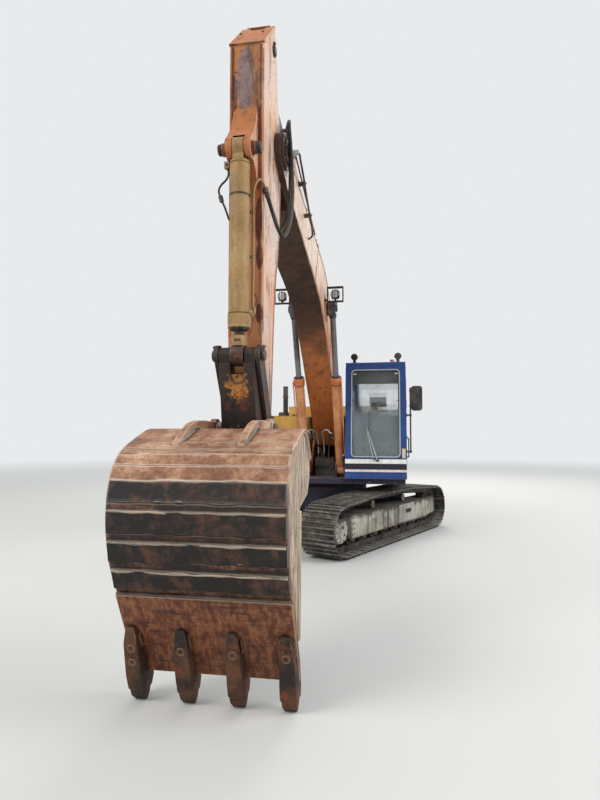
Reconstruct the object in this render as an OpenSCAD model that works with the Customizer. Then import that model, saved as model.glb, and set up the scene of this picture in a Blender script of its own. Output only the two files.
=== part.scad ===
// Crawler excavator, upper structure facing -Y, cab on the +X side, teeth on the ground.
// Profiles are drawn as (u, z): u runs forward from the swing centre, z up from the ground.

/* [Undercarriage] */
// Turn of the undercarriage below the upper structure, degrees
under_turn = -25.44; // [-180:0.01:180]
// Distance between sprocket and idler centres
wheel_base = 3440; // [3200:1:3700]
// Distance between the middles of the two tracks
gauge = 2200; // [2150:1:2500]
// Width of a track shoe
shoe_w = 600; // [500:1:700]
// Radius of the chain's pin line round sprocket and idler
pin_line_r = 309; // [290:1:330]
// Height of the grousers above the shoe plate
grouser_h = 26; // [15:1:40]
// Thickness of the shoe plate
shoe_t = 14; // [8:1:20]
// Height of a chain link above and below its pin line
link_h = 50; // [40:1:55]
// Lift of the top run over the carrier rollers
top_rise = 72; // [40:1:90]
// Number of shoes on the lower run
run_shoes = 18; // [16:1:20]
// Half width of a track frame
frame_half_w = 175; // [150:1:190]
// Radius of a bottom roller
roller_r = 78; // [70:1:85]
// Number of bottom rollers on each side
roller_n = 8; // [6:1:9]

/* [Upper structure] */
// Height of the underside of the revolving frame
deck_z = 1000; // [980:1:1030]
// Thickness of the revolving frame's floor
deck_t = 85; // [60:1:88]
// Radius of the swing bearing
ring_r = 620; // [560:1:680]
// Half width of the upper structure
upper_half_w = 1384; // [1360:1:1420]
// Radius of the counterweight's tail
tail_r = 2780; // [2700:1:2850]
// Height of the side boxes' tops
side_top_z = 2120; // [2050:1:2180]
// Height of the engine hood's top
hood_top_z = 2330; // [2280:1:2400]
// Thickness of a sheet metal panel with its stiffening
panel_t = 40; // [20:1:50]

/* [Cab] */
// Inner side of the cab
cab_v0 = 411; // [405:1:430]
// Front of the cab at its floor
cab_u1 = 1295; // [1250:1:1330]
// Rear of the cab
cab_u0 = -455; // [-520:1:-400]
// Underside of the cab
cab_z0 = 1089; // [1089:1:1100]
// Top of the cab
cab_z1 = 2977; // [2940:1:3000]
// Lean of the windscreen, degrees
cab_lean = 6.98; // [4:0.01:9]
// Thickness of a cab wall
wall_t = 55; // [40:1:70]
// Thickness of the glass
glass_t = 6; // [5:1:8]
// How far the cab door stands behind the front of the cab
door_front = 150; // [140:1:180]
// Length of the cab door
door_l = 900; // [850:1:950]

/* [Working equipment] */
// Boom foot pin, forward of the swing centre
foot_u = 137; // [100:1:180]
// Boom foot pin, height
foot_z = 1742; // [1700:1:1780]
// Length of the boom from foot pin to tip pin
boom_l = 5746; // [5600:1:5900]
// Angle of the boom's chord above the horizontal
boom_a = 28.51; // [20:0.01:35]
// Half width of the boom
boom_half_w = 205; // [190:1:208]
// Boom cylinder rod pin, distance from the foot pin
boom_rod_r = 2677; // [2600:1:2750]
// Boom cylinder rod pin, angle above the chord
boom_rod_a = 18.2; // [16:0.1:20]
// Boom cylinder foot pin, forward of the swing centre
ram_foot_u = 800; // [760:1:830]
// Boom cylinder foot pin, height
ram_foot_z = 1200; // [1190:1:1230]
// Distance of a boom cylinder from the middle
ram_v = 297; // [295:1:310]
// Half width of the stick
stick_half_w = 144; // [135:1:150]
// Half width of the bucket
bucket_half_w = 590; // [550:1:620]
// Thickness of the bucket's shell
shell_t = 28; // [20:1:35]
// Number of bucket teeth
tooth_n = 4; // [3:1:6]
// Radius of a working equipment pin
pin_r = 42; // [35:1:48]

/* [Hidden] */
$fn = 48;
gap = 5;
fit = 0.3;
bearing_gap = 0.5;

// The row's origin lies below the middle of the whole machine
bucket_back_u = 6960;
origin_u = (bucket_back_u - tail_r) / 2;

// Colours
navy = "#1c2733";
yellow = "#d9a514";
orange = "#c9752a";
rust = "#5d3a26";
blue = "#2447a0";
steel = "#77716b";
black = "#26262a";
cream = "#c8c4b8";
glass = "#9fb4bd55";

// A profile in (u, z) extruded from v0 to v1
module prof(v0, v1) {
    translate([v1, 0, 0]) rotate([90, 0, -90]) linear_extrude(v1 - v0) children();
}

// A cylinder across the machine at (u, z) from v0 to v1
module across(u, z, r, v0, v1) {
    translate([v0, -u, z]) rotate([0, 90, 0]) cylinder(r = r, h = v1 - v0);
}

// A box given by its limits forward, sideways and up
module block(u0, u1, v0, v1, z0, z1) {
    translate([v0, -u1, z0]) cube([v1 - v0, u1 - u0, z1 - z0]);
}

// A rectangle with round corners, centred
module round_rect(w, h, r) {
    square([w - 2 * r, h], center = true);
    square([w, h - 2 * r], center = true);
    for (x = [-1, 1], y = [-1, 1]) translate([x * (w / 2 - r), y * (h / 2 - r)]) circle(r);
}

// A bar in the (u, z) plane from a to b with round ends
module bar2d(a, b, ra, rb) {
    d = b - a;
    l = norm(d);
    k = (ra - rb) / l;
    // The straight sides start just inside the round ends, so that the outlines cross
    m = 0.985 * sqrt(1 - k * k);
    translate(a) rotate(atan2(d[1], d[0])) {
        circle(ra);
        translate([l, 0]) circle(rb);
        polygon([[ra * k, ra * m], [l + rb * k, rb * m], [l + rb * k, -rb * m], [ra * k, -ra * m]]);
    }
}

function polar(c, r, a) = c + [r * cos(a), r * sin(a)];

// Undercarriage

module under() rotate([0, 0, under_turn]) children();

wheel_z = pin_line_r + link_h + shoe_t + grouser_h;
half_base = wheel_base / 2;
end_shoes = 5;
carrier_u = half_base - 6 * wheel_base / run_shoes;
frame_bottom_z = 240;
frame_top_z = 545;
chain_half_w = 100;
strand_w = 38;

function top_z(u) = wheel_z + pin_line_r
    + top_rise * (abs(u) < carrier_u ? 1 : (half_base - abs(u)) / (half_base - carrier_u));

// Pins of the chain, counter-clockwise from the rear end of the lower run
chain_pins = concat(
    [for (i = [0 : run_shoes - 1]) [-half_base + i * wheel_base / run_shoes, wheel_z - pin_line_r]],
    [for (i = [0 : end_shoes - 1]) polar([half_base, wheel_z], pin_line_r, -90 + i * 180 / end_shoes)],
    [for (i = [0 : run_shoes - 1]) let (u = half_base - i * wheel_base / run_shoes) [u, top_z(u)]],
    [for (i = [0 : end_shoes - 1]) polar([-half_base, wheel_z], pin_line_r, 90 + i * 180 / end_shoes)]);

shoe_sink = 8;
shoe_top = link_h + shoe_t;

// A line that follows the pins, h away from them
function band(h) = let (n = len(chain_pins)) [for (i = [0 : n - 1])
    let (a = chain_pins[(i + n - 1) % n], b = chain_pins[(i + 1) % n], d = (b - a) / norm(b - a))
    chain_pins[i] + h * [d[1], -d[0]]];

// The shoes' outline: a notch at each joint, then three grousers with plate between
function shoe_line() = let (n = len(chain_pins), joints = band(link_h + 2), foot = 13)
    [for (i = [0 : n - 1]) let (
        a = chain_pins[i], b = chain_pins[(i + 1) % n], l = norm(b - a), d = (b - a) / l,
        out = [d[1], -d[0]], m = (a + b) / 2, e = l / 2 - 4, tip = shoe_top + grouser_h)
        for (q = [[0, 0, joints[i]], [-e, tip, m], [foot - e, shoe_top, m], [-foot, shoe_top, m], [0, tip, m],
                  [foot, shoe_top, m], [e - foot, shoe_top, m], [e, tip, m]])
            q[2] + q[0] * d + q[1] * out];

module track(s) {
    v = s * gauge / 2;
    color(steel) under() {
        prof(v - shoe_w / 2, v + shoe_w / 2) difference() {
            polygon(shoe_line());
            polygon(band(link_h - shoe_sink));
        }
        for (t = [-1, 1]) translate([t * (chain_half_w - strand_w / 2), 0, 0])
            prof(v - strand_w / 2, v + strand_w / 2) difference() {
                polygon(band(link_h - 2));
                polygon(band(-link_h));
            }
    }
}

module track_frame(m) {
    v = gauge / 2;
    end = half_base - 260;
    slot_z = 400;
    color(cream) under() mirror([m, 0, 0]) difference() {
        prof(v - frame_half_w, v + frame_half_w)
            polygon([[-half_base - 90, wheel_z - 60], [-half_base + 330, frame_bottom_z],
                     [end, frame_bottom_z], [half_base + 60, wheel_z - 100],
                     [half_base + 60, wheel_z + 100], [end - 60, frame_top_z], [-end + 40, frame_top_z],
                     [-half_base - 90, wheel_z + 60]]);
        // Sprocket and idler slots
        block(half_base - 300, half_base + 100, v - slot_v - fit, v + frame_half_w + 10, 0, 900);
        block(-half_base - 100, -half_base + 420, v - channel_v, v + channel_v, 0, 900);
        // Roller channel
        block(-half_base, half_base, v - channel_v, v + channel_v, 0, roller_z + roller_r + 12);
        // Access slot to the track adjuster, on the outer face
        block(-half_base + 560, -half_base + 860, v + frame_half_w - 40, v + frame_half_w + 1, slot_z, slot_z + 70);
    }
}

// Builds its children for the +X track and mirrors them for the other
module both_sides() {
    for (m = [0, 1]) under() mirror([m, 0, 0]) children();
}

track_v = gauge / 2;
drive_r = 192;
cover_r = 175;
motor_r = 135;
slot_v = 60;

module sprockets() {
    teeth_r = pin_line_r - 4;
    color(steel) both_sides() {
        difference() {
            union() {
                across(half_base, wheel_z, pin_line_r - link_h - 8, track_v - 30, track_v + 30);
                prof(track_v - 30, track_v + 30) translate([half_base, wheel_z]) for (i = [0 : 9])
                    rotate(i * 36 + 18) polygon([[0, -50], [teeth_r - 35, -34], [teeth_r, -16],
                                                 [teeth_r, 16], [teeth_r - 35, 34], [0, 50]]);
            }
            across(half_base, wheel_z, drive_r, track_v - 31, track_v + 31);
        }
        // Travel drive, its outer cover, and the motor on the inner side of the frame
        across(half_base, wheel_z, drive_r - fit, track_v - slot_v, track_v + 100);
        across(half_base, wheel_z, cover_r, track_v + 99, track_v + 180);
        across(half_base, wheel_z, motor_r, track_v - 330, track_v - frame_half_w - fit);
    }
}

channel_v = 112;

module idlers() {
    r = pin_line_r - link_h - fit;
    color(steel) both_sides() {
        difference() {
            across(-half_base, wheel_z, r, track_v - 55, track_v + 55);
            for (t = [-1, 1]) across(-half_base, wheel_z, r - 70, track_v + t * 55 - 25, track_v + t * 55 + 25);
        }
        across(-half_base, wheel_z, 70, track_v - channel_v + fit, track_v + channel_v - fit);
    }
}

roller_z = wheel_z - pin_line_r + link_h + roller_r + fit;
carrier_r = 65;

module track_rollers() {
    first = -half_base + 480;
    step = (wheel_base - 860) / (roller_n - 1);
    flange_w = 24;
    shaft_r = 30;
    carrier_z = top_z(0) - link_h - carrier_r - fit;
    color(steel) both_sides() {
        for (i = [0 : roller_n - 1]) {
            across(first + i * step, roller_z, roller_r - 14, track_v - 105, track_v + 105);
            across(first + i * step, roller_z, shaft_r, track_v - channel_v + fit, track_v + channel_v - fit);
            for (t = [-1, 1])
                across(first + i * step, roller_z, roller_r, track_v + t * 80 - flange_w, track_v + t * 80 + flange_w);
        }
        for (c = [-1, 1]) {
            across(c * carrier_u, carrier_z, carrier_r, track_v - 100, track_v + 100);
            block(c * carrier_u - 40, c * carrier_u + 40, track_v - 140, track_v - 99, frame_top_z + fit, carrier_z + 40);
        }
    }
}

body_top_z = 880;

module carbody() {
    leg_w = 330;
    inner = gauge / 2 - frame_half_w - fit;
    color(navy) under() difference() {
        union() {
            translate([0, 0, 480]) cylinder(r = ring_r + 60, h = body_top_z - 480);
            for (s = [-1, 1], e = [-1, 1]) {
                // Each leg is a box from the drum to its track frame
                difference() {
                    translate([0, -e * 640, 0]) block(-leg_w / 2, leg_w / 2, s > 0 ? 300 : -inner,
                                                      s > 0 ? inner : -300, 300, 640);
                }
                block(e > 0 ? 200 : -700, e > 0 ? 700 : -200, s > 0 ? 200 : -620, s > 0 ? 620 : -200, 420, 700);
            }
        }
        // Swivel joint opening in the middle
        translate([0, 0, 470]) cylinder(r = 260, h = body_top_z);
    }
}

module swing_ring() {
    color(steel) difference() {
        translate([0, 0, body_top_z + fit]) cylinder(r = ring_r, h = deck_z - body_top_z - gap);
        translate([0, 0, body_top_z]) cylinder(r = ring_r - 110, h = deck_z);
    }
}

// Upper structure

foot = [foot_u, foot_z];
ram_foot = [ram_foot_u, ram_foot_z];
main_plate_t = 30;
main_v = boom_half_w + gap;
deck_top = deck_z + deck_t;
house_u0 = -1980;
bay_u = -520;
plate_h = 90;

lug_r = 110;

module revolving_frame() {
    ram_eye = 56;
    color(navy) {
        difference() {
            union() {
                block(house_u0, cab_u1 - 80, -cab_v0 + 30, cab_v0 - 30, deck_z, deck_top);
                block(house_u0, cab_u1 - 100, cab_v0 - 31, upper_half_w - 20, deck_z, deck_top);
                block(house_u0, 1050, -upper_half_w + 20, -cab_v0 + 31, deck_z, deck_top);
                // Main plates with the boom foot and cylinder lugs
                for (s = [-1, 1]) prof(s > 0 ? main_v : -main_v - main_plate_t, s > 0 ? main_v + main_plate_t : -main_v) {
                    polygon([[house_u0, deck_top - 1], [house_u0, deck_top + plate_h], [-960, deck_top + plate_h], [-860, deck_top + 480],
                             [foot_u - 210, foot_z + 40], [foot_u + 210, foot_z - 40],
                             [ram_foot_u - 175, ram_foot_z + 130], [ram_foot_u - 110, ram_foot_z],
                             [ram_foot_u + 110, ram_foot_z], [ram_foot_u + 110, deck_top - 1]]);
                    translate(foot) circle(r = 210);
                    translate(ram_foot) circle(r = lug_r);
                }
                // Outer cylinder lugs
                for (s = [-1, 1]) prof(s > 0 ? ram_v + ram_eye + 3 : -ram_v - ram_eye - 28,
                                       s > 0 ? ram_v + ram_eye + 28 : -ram_v - ram_eye - 3) {
                    polygon([[ram_foot_u - 220, deck_top - 1], [ram_foot_u - 100, ram_foot_z],
                             [ram_foot_u + 100, ram_foot_z], [ram_foot_u + 110, deck_top - 1]]);
                    translate(ram_foot) circle(r = lug_r - 10);
                }
            }
            translate([0, 0, deck_z - 1]) cylinder(r = 200, h = deck_t + 2);
            for (s = [-1, 1]) across(ram_foot_u, ram_foot_z, pin_r + fit, s * ram_v - 90, s * ram_v + 90);
            across(foot_u, foot_z, pin_r + 10 + fit, -main_v - 40, main_v + 40);
        }
        translate([0, 0, deck_z - 40]) cylinder(r = ring_r - 110 - bearing_gap, h = 41);
    }
}

weight_top_z = hood_top_z - 60;
lift_eye = [house_u0 - 380, weight_top_z + 60];
lift_eye_r = 32;
lift_eye_half = 25;

module counterweight() {
    front_u = house_u0 - fit;
    color(navy) {
        intersection() {
            translate([0, 0, deck_z + 50]) cylinder(r = tail_r, h = weight_top_z - deck_z - 50, $fn = 96);
            block(-tail_r, front_u, -upper_half_w + 10, upper_half_w - 10, deck_z + 50, weight_top_z);
        }
        // Lifting eyes
        for (s = [-1, 1]) prof(s * 700 - lift_eye_half, s * 700 + lift_eye_half) difference() {
            union() {
                translate(lift_eye) circle(r = 62);
                polygon([lift_eye + [-110, -80], lift_eye + [110, -80], lift_eye + [58, 20], lift_eye + [-58, 20]]);
            }
            translate(lift_eye) circle(r = lift_eye_r);
        }
    }
}

module engine() {
    color(steel) block(-1640, -1040, -560, 620, deck_top + plate_h + fit, deck_top + 900);
}

module radiator() {
    color(black) block(-1880, -760, 900, 1060, deck_top + fit, deck_top + 900);
}

module valve_block() {
    color(black) {
        block(425, 580, -main_v + 40, main_v - 45, deck_top + fit, 1370);
        for (v = [-120 : 60 : 120]) translate([v, -500, 1369]) cylinder(r = 20, h = 32);
    }
}

tank_u0 = -1000;
tank_u1 = 250;
tank_v0 = -upper_half_w + 30;
tank_v1 = -main_v - main_plate_t - 165;

module hydraulic_tank() {
    color(yellow) block(tank_u0, (tank_u0 + tank_u1) / 2 - fit, tank_v0, tank_v1, deck_top + fit, side_top_z);
}

module fuel_tank() {
    color(yellow) block((tank_u0 + tank_u1) / 2, tank_u1, tank_v0, tank_v1, deck_top + fit, side_top_z - 10);
}

module tool_box() {
    color(yellow) {
        block(tank_u1 + fit, 700, tank_v0, tank_v1, deck_top + fit, 1700);
        block(700 - 1, 1020, tank_v0, tank_v1, deck_top + fit, 1400);
    }
}

module house_frame() {
    // Posts and the fixed panels between the doors
    color(yellow) {
        for (s = [-1, 1]) {
            block(house_u0 + fit, side_door_u0 - gap, s > 0 ? door_v - 90 : -door_v,
                  s > 0 ? door_v : -door_v + 90, deck_top + fit, side_top_z);
            knuckles(s * hinge_v, hinge_u, post_hinges, -60, s);
        }
        block(tank_u0 - 90, tank_u0 - 10, -upper_half_w + 30, -upper_half_w + 120, deck_top + fit, side_top_z);
        block(bay_u - 60, bay_u, cab_v0, upper_half_w - 30, deck_top + fit, side_top_z);
        // Roof panels beside the hood
        block(house_u0 + fit, bay_u, 880, upper_half_w - 30, side_top_z - 1, side_top_z + panel_t);
        block(house_u0 + fit, tank_u0 - 10, -upper_half_w + 30, -880, side_top_z - 1, side_top_z + panel_t);
        // Bulkhead behind the boom
        block(bay_u - 60, bay_u, tank_v1 + 20, cab_v0 + 1, deck_top + 640, side_top_z);
        block(hood_u1 + gap + 1, bay_u + 240, tank_v1 + 20, cab_v0 - 20, side_top_z - 1, side_top_z + panel_t);
        for (v = hood_hinges) {
            across(hood_hinge_u, hood_hinge_z, knuckle_r, v + knuckle_h + hinge_clear, v + 2 * knuckle_h);
            block(hood_hinge_u, hood_hinge_u + 50, v + knuckle_h + hinge_clear, v + 2 * knuckle_h,
                  side_top_z + panel_t - 1, side_top_z + panel_t + leaf_t);
        }
    }
}

module exhaust() {
    seat_z = side_top_z + panel_t + fit;
    color(black) translate([-upper_half_w + 284, 1450, seat_z]) {
        cylinder(r = 80, h = 20);
        cylinder(r = 52, h = 620);
    }
}

hood_u0 = house_u0 + 20;
hood_u1 = bay_u - 120;
hood_v = 870;

hood_hinge_u = hood_u1 + 14;
hood_hinge_z = side_top_z + panel_t + 13.5;
hood_hinges = [-330, 200];

module engine_hood() {
    color(yellow) for (v = hood_hinges) {
        across(hood_hinge_u, hood_hinge_z, knuckle_r, v, v + knuckle_h);
        block(hood_u1 - 1, hood_hinge_u, v, v + knuckle_h, hood_hinge_z + knuckle_r - leaf_t, hood_hinge_z + knuckle_r);
    }
    color(yellow) difference() {
        block(hood_u0, hood_u1, -hood_v, hood_v, side_top_z + 6, hood_top_z);
        block(hood_u0 + panel_t, hood_u1 - panel_t, -hood_v + panel_t, hood_v - panel_t, side_top_z, hood_top_z - panel_t);
    }
}

knuckle_r = 12;
knuckle_h = 70;
leaf_t = 4;

// Knuckles of an upright hinge on the axis (v, u), with leaves that reach by leaf_u forward or back
module knuckles(v, u, heights, leaf_u, s) {
    for (z = heights) {
        translate([v, -u, z]) cylinder(r = knuckle_r, h = knuckle_h);
        block(min(u, u + leaf_u), max(u, u + leaf_u), s > 0 ? v - knuckle_r : v + knuckle_r - leaf_t,
              s > 0 ? v - knuckle_r + leaf_t : v + knuckle_r, z, z + knuckle_h);
    }
}

door_v = upper_half_w - 20;
side_door_u0 = house_u0 + 90;
hinge_u = side_door_u0 - gap / 2;
hinge_v = door_v + knuckle_r;
door_hinges = [deck_top + 150, deck_top + 800];
hinge_clear = 0.5;
post_hinges = [for (z = door_hinges) z + knuckle_h + hinge_clear];

// Louvre slots through a side door, between two places along it
module louvres(u0, u1, v, low, high) {
    for (z = [low : 70 : high]) block(u0, u1, v - panel_t - 1, v + panel_t + 1, z, z + 30);
}

module pump_door() {
    color(yellow) {
        difference() {
            block(side_door_u0, tank_u0 - 100, -door_v, -door_v + panel_t, deck_top + gap, side_top_z - 6);
            louvres(side_door_u0 + 150, tank_u0 - 250, -door_v, deck_top + 640, side_top_z - 180);
        }
        knuckles(-hinge_v, hinge_u, door_hinges, 60, -1);
    }
}

module radiator_door() {
    color(yellow) {
        difference() {
            block(side_door_u0, bay_u - 70, door_v - panel_t, door_v, deck_top + gap, side_top_z - 6);
            louvres(side_door_u0 + 170, bay_u - 240, door_v, deck_top + 290, side_top_z - 180);
        }
        knuckles(hinge_v, hinge_u, door_hinges, 60, 1);
    }
}

// Cab

cab_v1 = upper_half_w;
cab_h = cab_z1 - cab_z0;
roof_t = 92;
floor_t = 60;
inner_z0 = cab_z0 + floor_t + fit;
inner_z1 = cab_z1 - roof_t - fit;

// Forward limit of the cab at height z
function cab_front_u(z) = cab_u1 - (z - cab_z0) * tan(cab_lean);

module cab_slope(behind) {
    polygon([[cab_u0, inner_z0], [cab_front_u(inner_z0) - behind, inner_z0],
             [cab_front_u(inner_z1) - behind, inner_z1], [cab_u0, inner_z1]]);
}

module cab_floor() {
    color(black) for (u = [cab_u0 + 200, cab_u1 - 300], v = [cab_v0 + 130, cab_v1 - 130])
        translate([v, -u, deck_top + fit]) cylinder(r = 60, h = cab_z0 - deck_top);
    color(blue) prof(cab_v0, cab_v1)
        polygon([[cab_u0, cab_z0], [cab_u1, cab_z0], [cab_front_u(cab_z0 + floor_t), cab_z0 + floor_t],
                 [cab_u0, cab_z0 + floor_t]]);
}

module cab_roof() {
    front = cab_front_u(cab_z1 - roof_t);
    r = 44;
    color(blue) prof(cab_v0 + 3, cab_v1 - 3) {
        polygon([[cab_u0, cab_z1 - roof_t], [front, cab_z1 - roof_t], [front, cab_z1 - r],
                 [front - r, cab_z1], [cab_u0 + r, cab_z1], [cab_u0, cab_z1 - r]]);
        translate([front - r, cab_z1 - r]) circle(r);
        translate([cab_u0 + r, cab_z1 - r]) circle(r);
    }
}

screen_z0 = 1430;
screen_z1 = 2850;
screen_w = cab_v1 - cab_v0 - 190;

// Places its children on the leaning front plane, x across and y up the slope
module on_screen() {
    translate([(cab_v0 + cab_v1) / 2, -cab_u1, cab_z0]) rotate([90 - cab_lean, 0, 0]) children();
}

module screen_2d(margin) {
    z0 = (screen_z0 - cab_z0) / cos(cab_lean);
    z1 = (screen_z1 - cab_z0) / cos(cab_lean);
    translate([0, (z0 + z1) / 2]) round_rect(screen_w - 2 * margin, z1 - z0 - 2 * margin, 62);
}

module cab_front() {
    color(blue) difference() {
        prof(cab_v0, cab_v1) difference() {
            cab_slope(0);
            cab_slope(wall_t);
        }
        on_screen() translate([0, 0, -200]) linear_extrude(400) screen_2d(0);
    }
}

door_u1 = cab_u1 - door_front;
door_u0 = door_u1 - door_l;
door_z0 = inner_z0 + 30;
door_z1 = inner_z1 - 40;
// The door's front edge follows the lean of the windscreen
module door_2d(m) {
    k = tan(cab_lean);
    polygon([[door_u0 + m, door_z0 + m], [door_u1 - m, door_z0 + m],
             [door_u1 - m - (door_z1 - door_z0) * k, door_z1 - m], [door_u0 + m, door_z1 - m]]);
}

// Windows of the door: lower height, upper height
door_panes = [[1330, 1720], [1790, 2700]];

module door_pane_2d(p, m) {
    k = tan(cab_lean);
    edge = 75;
    polygon([[door_u0 + edge + m, p[0] + m], [door_u1 - edge - (p[0] - door_z0) * k - m, p[0] + m],
             [door_u1 - edge - (p[1] - door_z0) * k - m, p[1] - m], [door_u0 + edge + m, p[1] - m]]);
}

rear_pane = [cab_u0 + 110, door_u0 - 90, 1790, 2700];

module pane(p, m) {
    polygon([[p[0] + m, p[2] + m], [p[1] - m, p[2] + m], [p[1] - m, p[3] - m], [p[0] + m, p[3] - m]]);
}

cab_hinges = [1300, 2250];
cab_hinge_v = cab_v1 + knuckle_r;

module cab_side() {
    color(blue) knuckles(cab_hinge_v, door_u0 - gap / 2, [for (z = cab_hinges) z + knuckle_h + hinge_clear], -60, 1);
    color(blue) prof(cab_v1 - wall_t, cab_v1) difference() {
        cab_slope(wall_t + fit);
        door_2d(-gap);
        pane(rear_pane, 0);
    }
}

module cab_door() {
    color(blue) knuckles(cab_hinge_v, door_u0 - gap / 2, cab_hinges, 60, 1);
    color(blue) prof(cab_v1 - wall_t, cab_v1) difference() {
        door_2d(0);
        for (p = door_panes) door_pane_2d(p, 0);
    }
}

module door_glass() {
    color(glass) for (p = door_panes) prof(cab_v1 - 20 - glass_t, cab_v1 - 20) door_pane_2d(p, fit);
}

inner_pane = [cab_u0 + 150, 950, 1790, 2700];

module cab_inner_wall() {
    color(blue) prof(cab_v0, cab_v0 + wall_t) difference() {
        cab_slope(wall_t + fit);
        pane(inner_pane, 0);
    }
}

rear_z0 = 2230;
rear_z1 = 2780;

module rear_window(m) {
    translate([(cab_v0 + cab_v1) / 2, 0, (rear_z0 + rear_z1) / 2]) rotate([90, 0, 0])
        linear_extrude(200, center = true)
            round_rect(cab_v1 - cab_v0 - 2 * wall_t - 110 - 2 * m, rear_z1 - rear_z0 - 2 * m, 60);
}

module cab_rear() {
    color(blue) difference() {
        block(cab_u0, cab_u0 + wall_t, cab_v0 + wall_t + fit, cab_v1 - wall_t - fit, inner_z0, inner_z1);
        translate([0, -cab_u0, 0]) rear_window(0);
    }
}

module cab_glass() {
    color(glass) {
        on_screen() translate([0, 0, -30]) linear_extrude(glass_t) screen_2d(fit);
        prof(cab_v1 - 20 - glass_t, cab_v1 - 20) pane(rear_pane, fit);
        prof(cab_v0 + 20, cab_v0 + 20 + glass_t) pane(inner_pane, fit);
        intersection() {
            translate([0, -cab_u0, 0]) rear_window(fit);
            block(cab_u0 + 20, cab_u0 + 20 + glass_t, cab_v0, cab_v1, cab_z0, cab_z1);
        }
    }
}

seat_u = 180;
seat_v = (cab_v0 + cab_v1) / 2;
cab_floor_z = cab_z0 + floor_t;

console_half = 60;
console_v = (cab_v1 - cab_v0) / 2 - wall_t - 41.5 - console_half;
seat_half = console_v - console_half - 20;
seat_z = cab_floor_z + 520;

module seat() {
    color(black) {
        block(seat_u - 180, seat_u + 180, seat_v - 160, seat_v + 160, cab_floor_z + fit, seat_z - 120);
        block(seat_u - 240, seat_u + 260, seat_v - seat_half, seat_v + seat_half, seat_z - 121, seat_z);
        prof(seat_v - seat_half + 10, seat_v + seat_half - 10)
            bar2d([seat_u - 220, seat_z - 20], [seat_u - 330, seat_z + 510], 60, 50);
        // Headrest on its post
        prof(seat_v - 60, seat_v + 60) bar2d([seat_u - 335, seat_z + 500], [seat_u - 344, seat_z + 660], 22, 20);
        prof(seat_v - 145, seat_v + 145) bar2d([seat_u - 344, seat_z + 668], [seat_u - 350, seat_z + 760], 40, 39);
    }
}

module controls() {
    color(black) for (s = [-1, 1]) {
        v = seat_v + s * console_v;
        block(seat_u - 260, seat_u + 300, v - console_half, v + console_half, cab_floor_z + fit, seat_z + 60);
        translate([v, -seat_u - 230, seat_z + 59]) cylinder(r = 18, h = 190);
        translate([v, -seat_u - 230, seat_z + 240]) cylinder(r = 28, h = 110);
    }
}

// Posts of the handrail over the tool box: forward place and height of the seat
rail_posts = [[960, 1400], [480, 1700]];

module handrails() {
    r = 16;
    top = 2300;
    v = tank_v0 + 60;
    color(black) {
        for (q = rail_posts) translate([v, -q[0], q[1] + fit]) cylinder(r = r, h = top - q[1]);
        translate([v, -rail_posts[0][0] - r - 4, top - 2 * r]) rotate([-90, 0, 0])
            cylinder(r = r - 2, h = rail_posts[0][0] - rail_posts[1][0] + 2 * r + 8);
    }
}

module mirrors() {
    u = cab_front_u(1640) - 75;
    v = cab_v1 + 66;
    r = 14;
    color(black) {
        block(u - 15, u + 15, v + 10, v + 190, 2170, 2570);
        for (z = [1520, 2100]) across(u, z, r, cab_v1 + fit, v + r);
        translate([v, -u, 1500]) cylinder(r = r, h = 1040);
    }
}

module cab_lamps() {
    lamp_z = cab_z1 + 105;
    color(cream) for (v = [cab_v0 + 134, cab_v1 - 122]) {
        translate([v, -900, cab_z1 + fit]) cylinder(r = 26, h = lamp_z - cab_z1);
        translate([v, -860, lamp_z]) rotate([90, 0, 0]) cylinder(r = 52, h = 80);
    }
}

// Working equipment

boom_tip = polar(foot, boom_l, boom_a);
boom_rod = polar(foot, boom_rod_r, boom_a + boom_rod_a);

// A point given along the boom's chord and above it
function on_boom(s, h) = foot + s * [cos(boom_a), sin(boom_a)] + h * [-sin(boom_a), cos(boom_a)];
// The same, with the way along the chord as a share of its length
function boom_share(k, h) = on_boom(k * boom_l, h);

stick_ram_foot = boom_share(0.54875, 1482.8);

rod_eye_half = 50;

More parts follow.
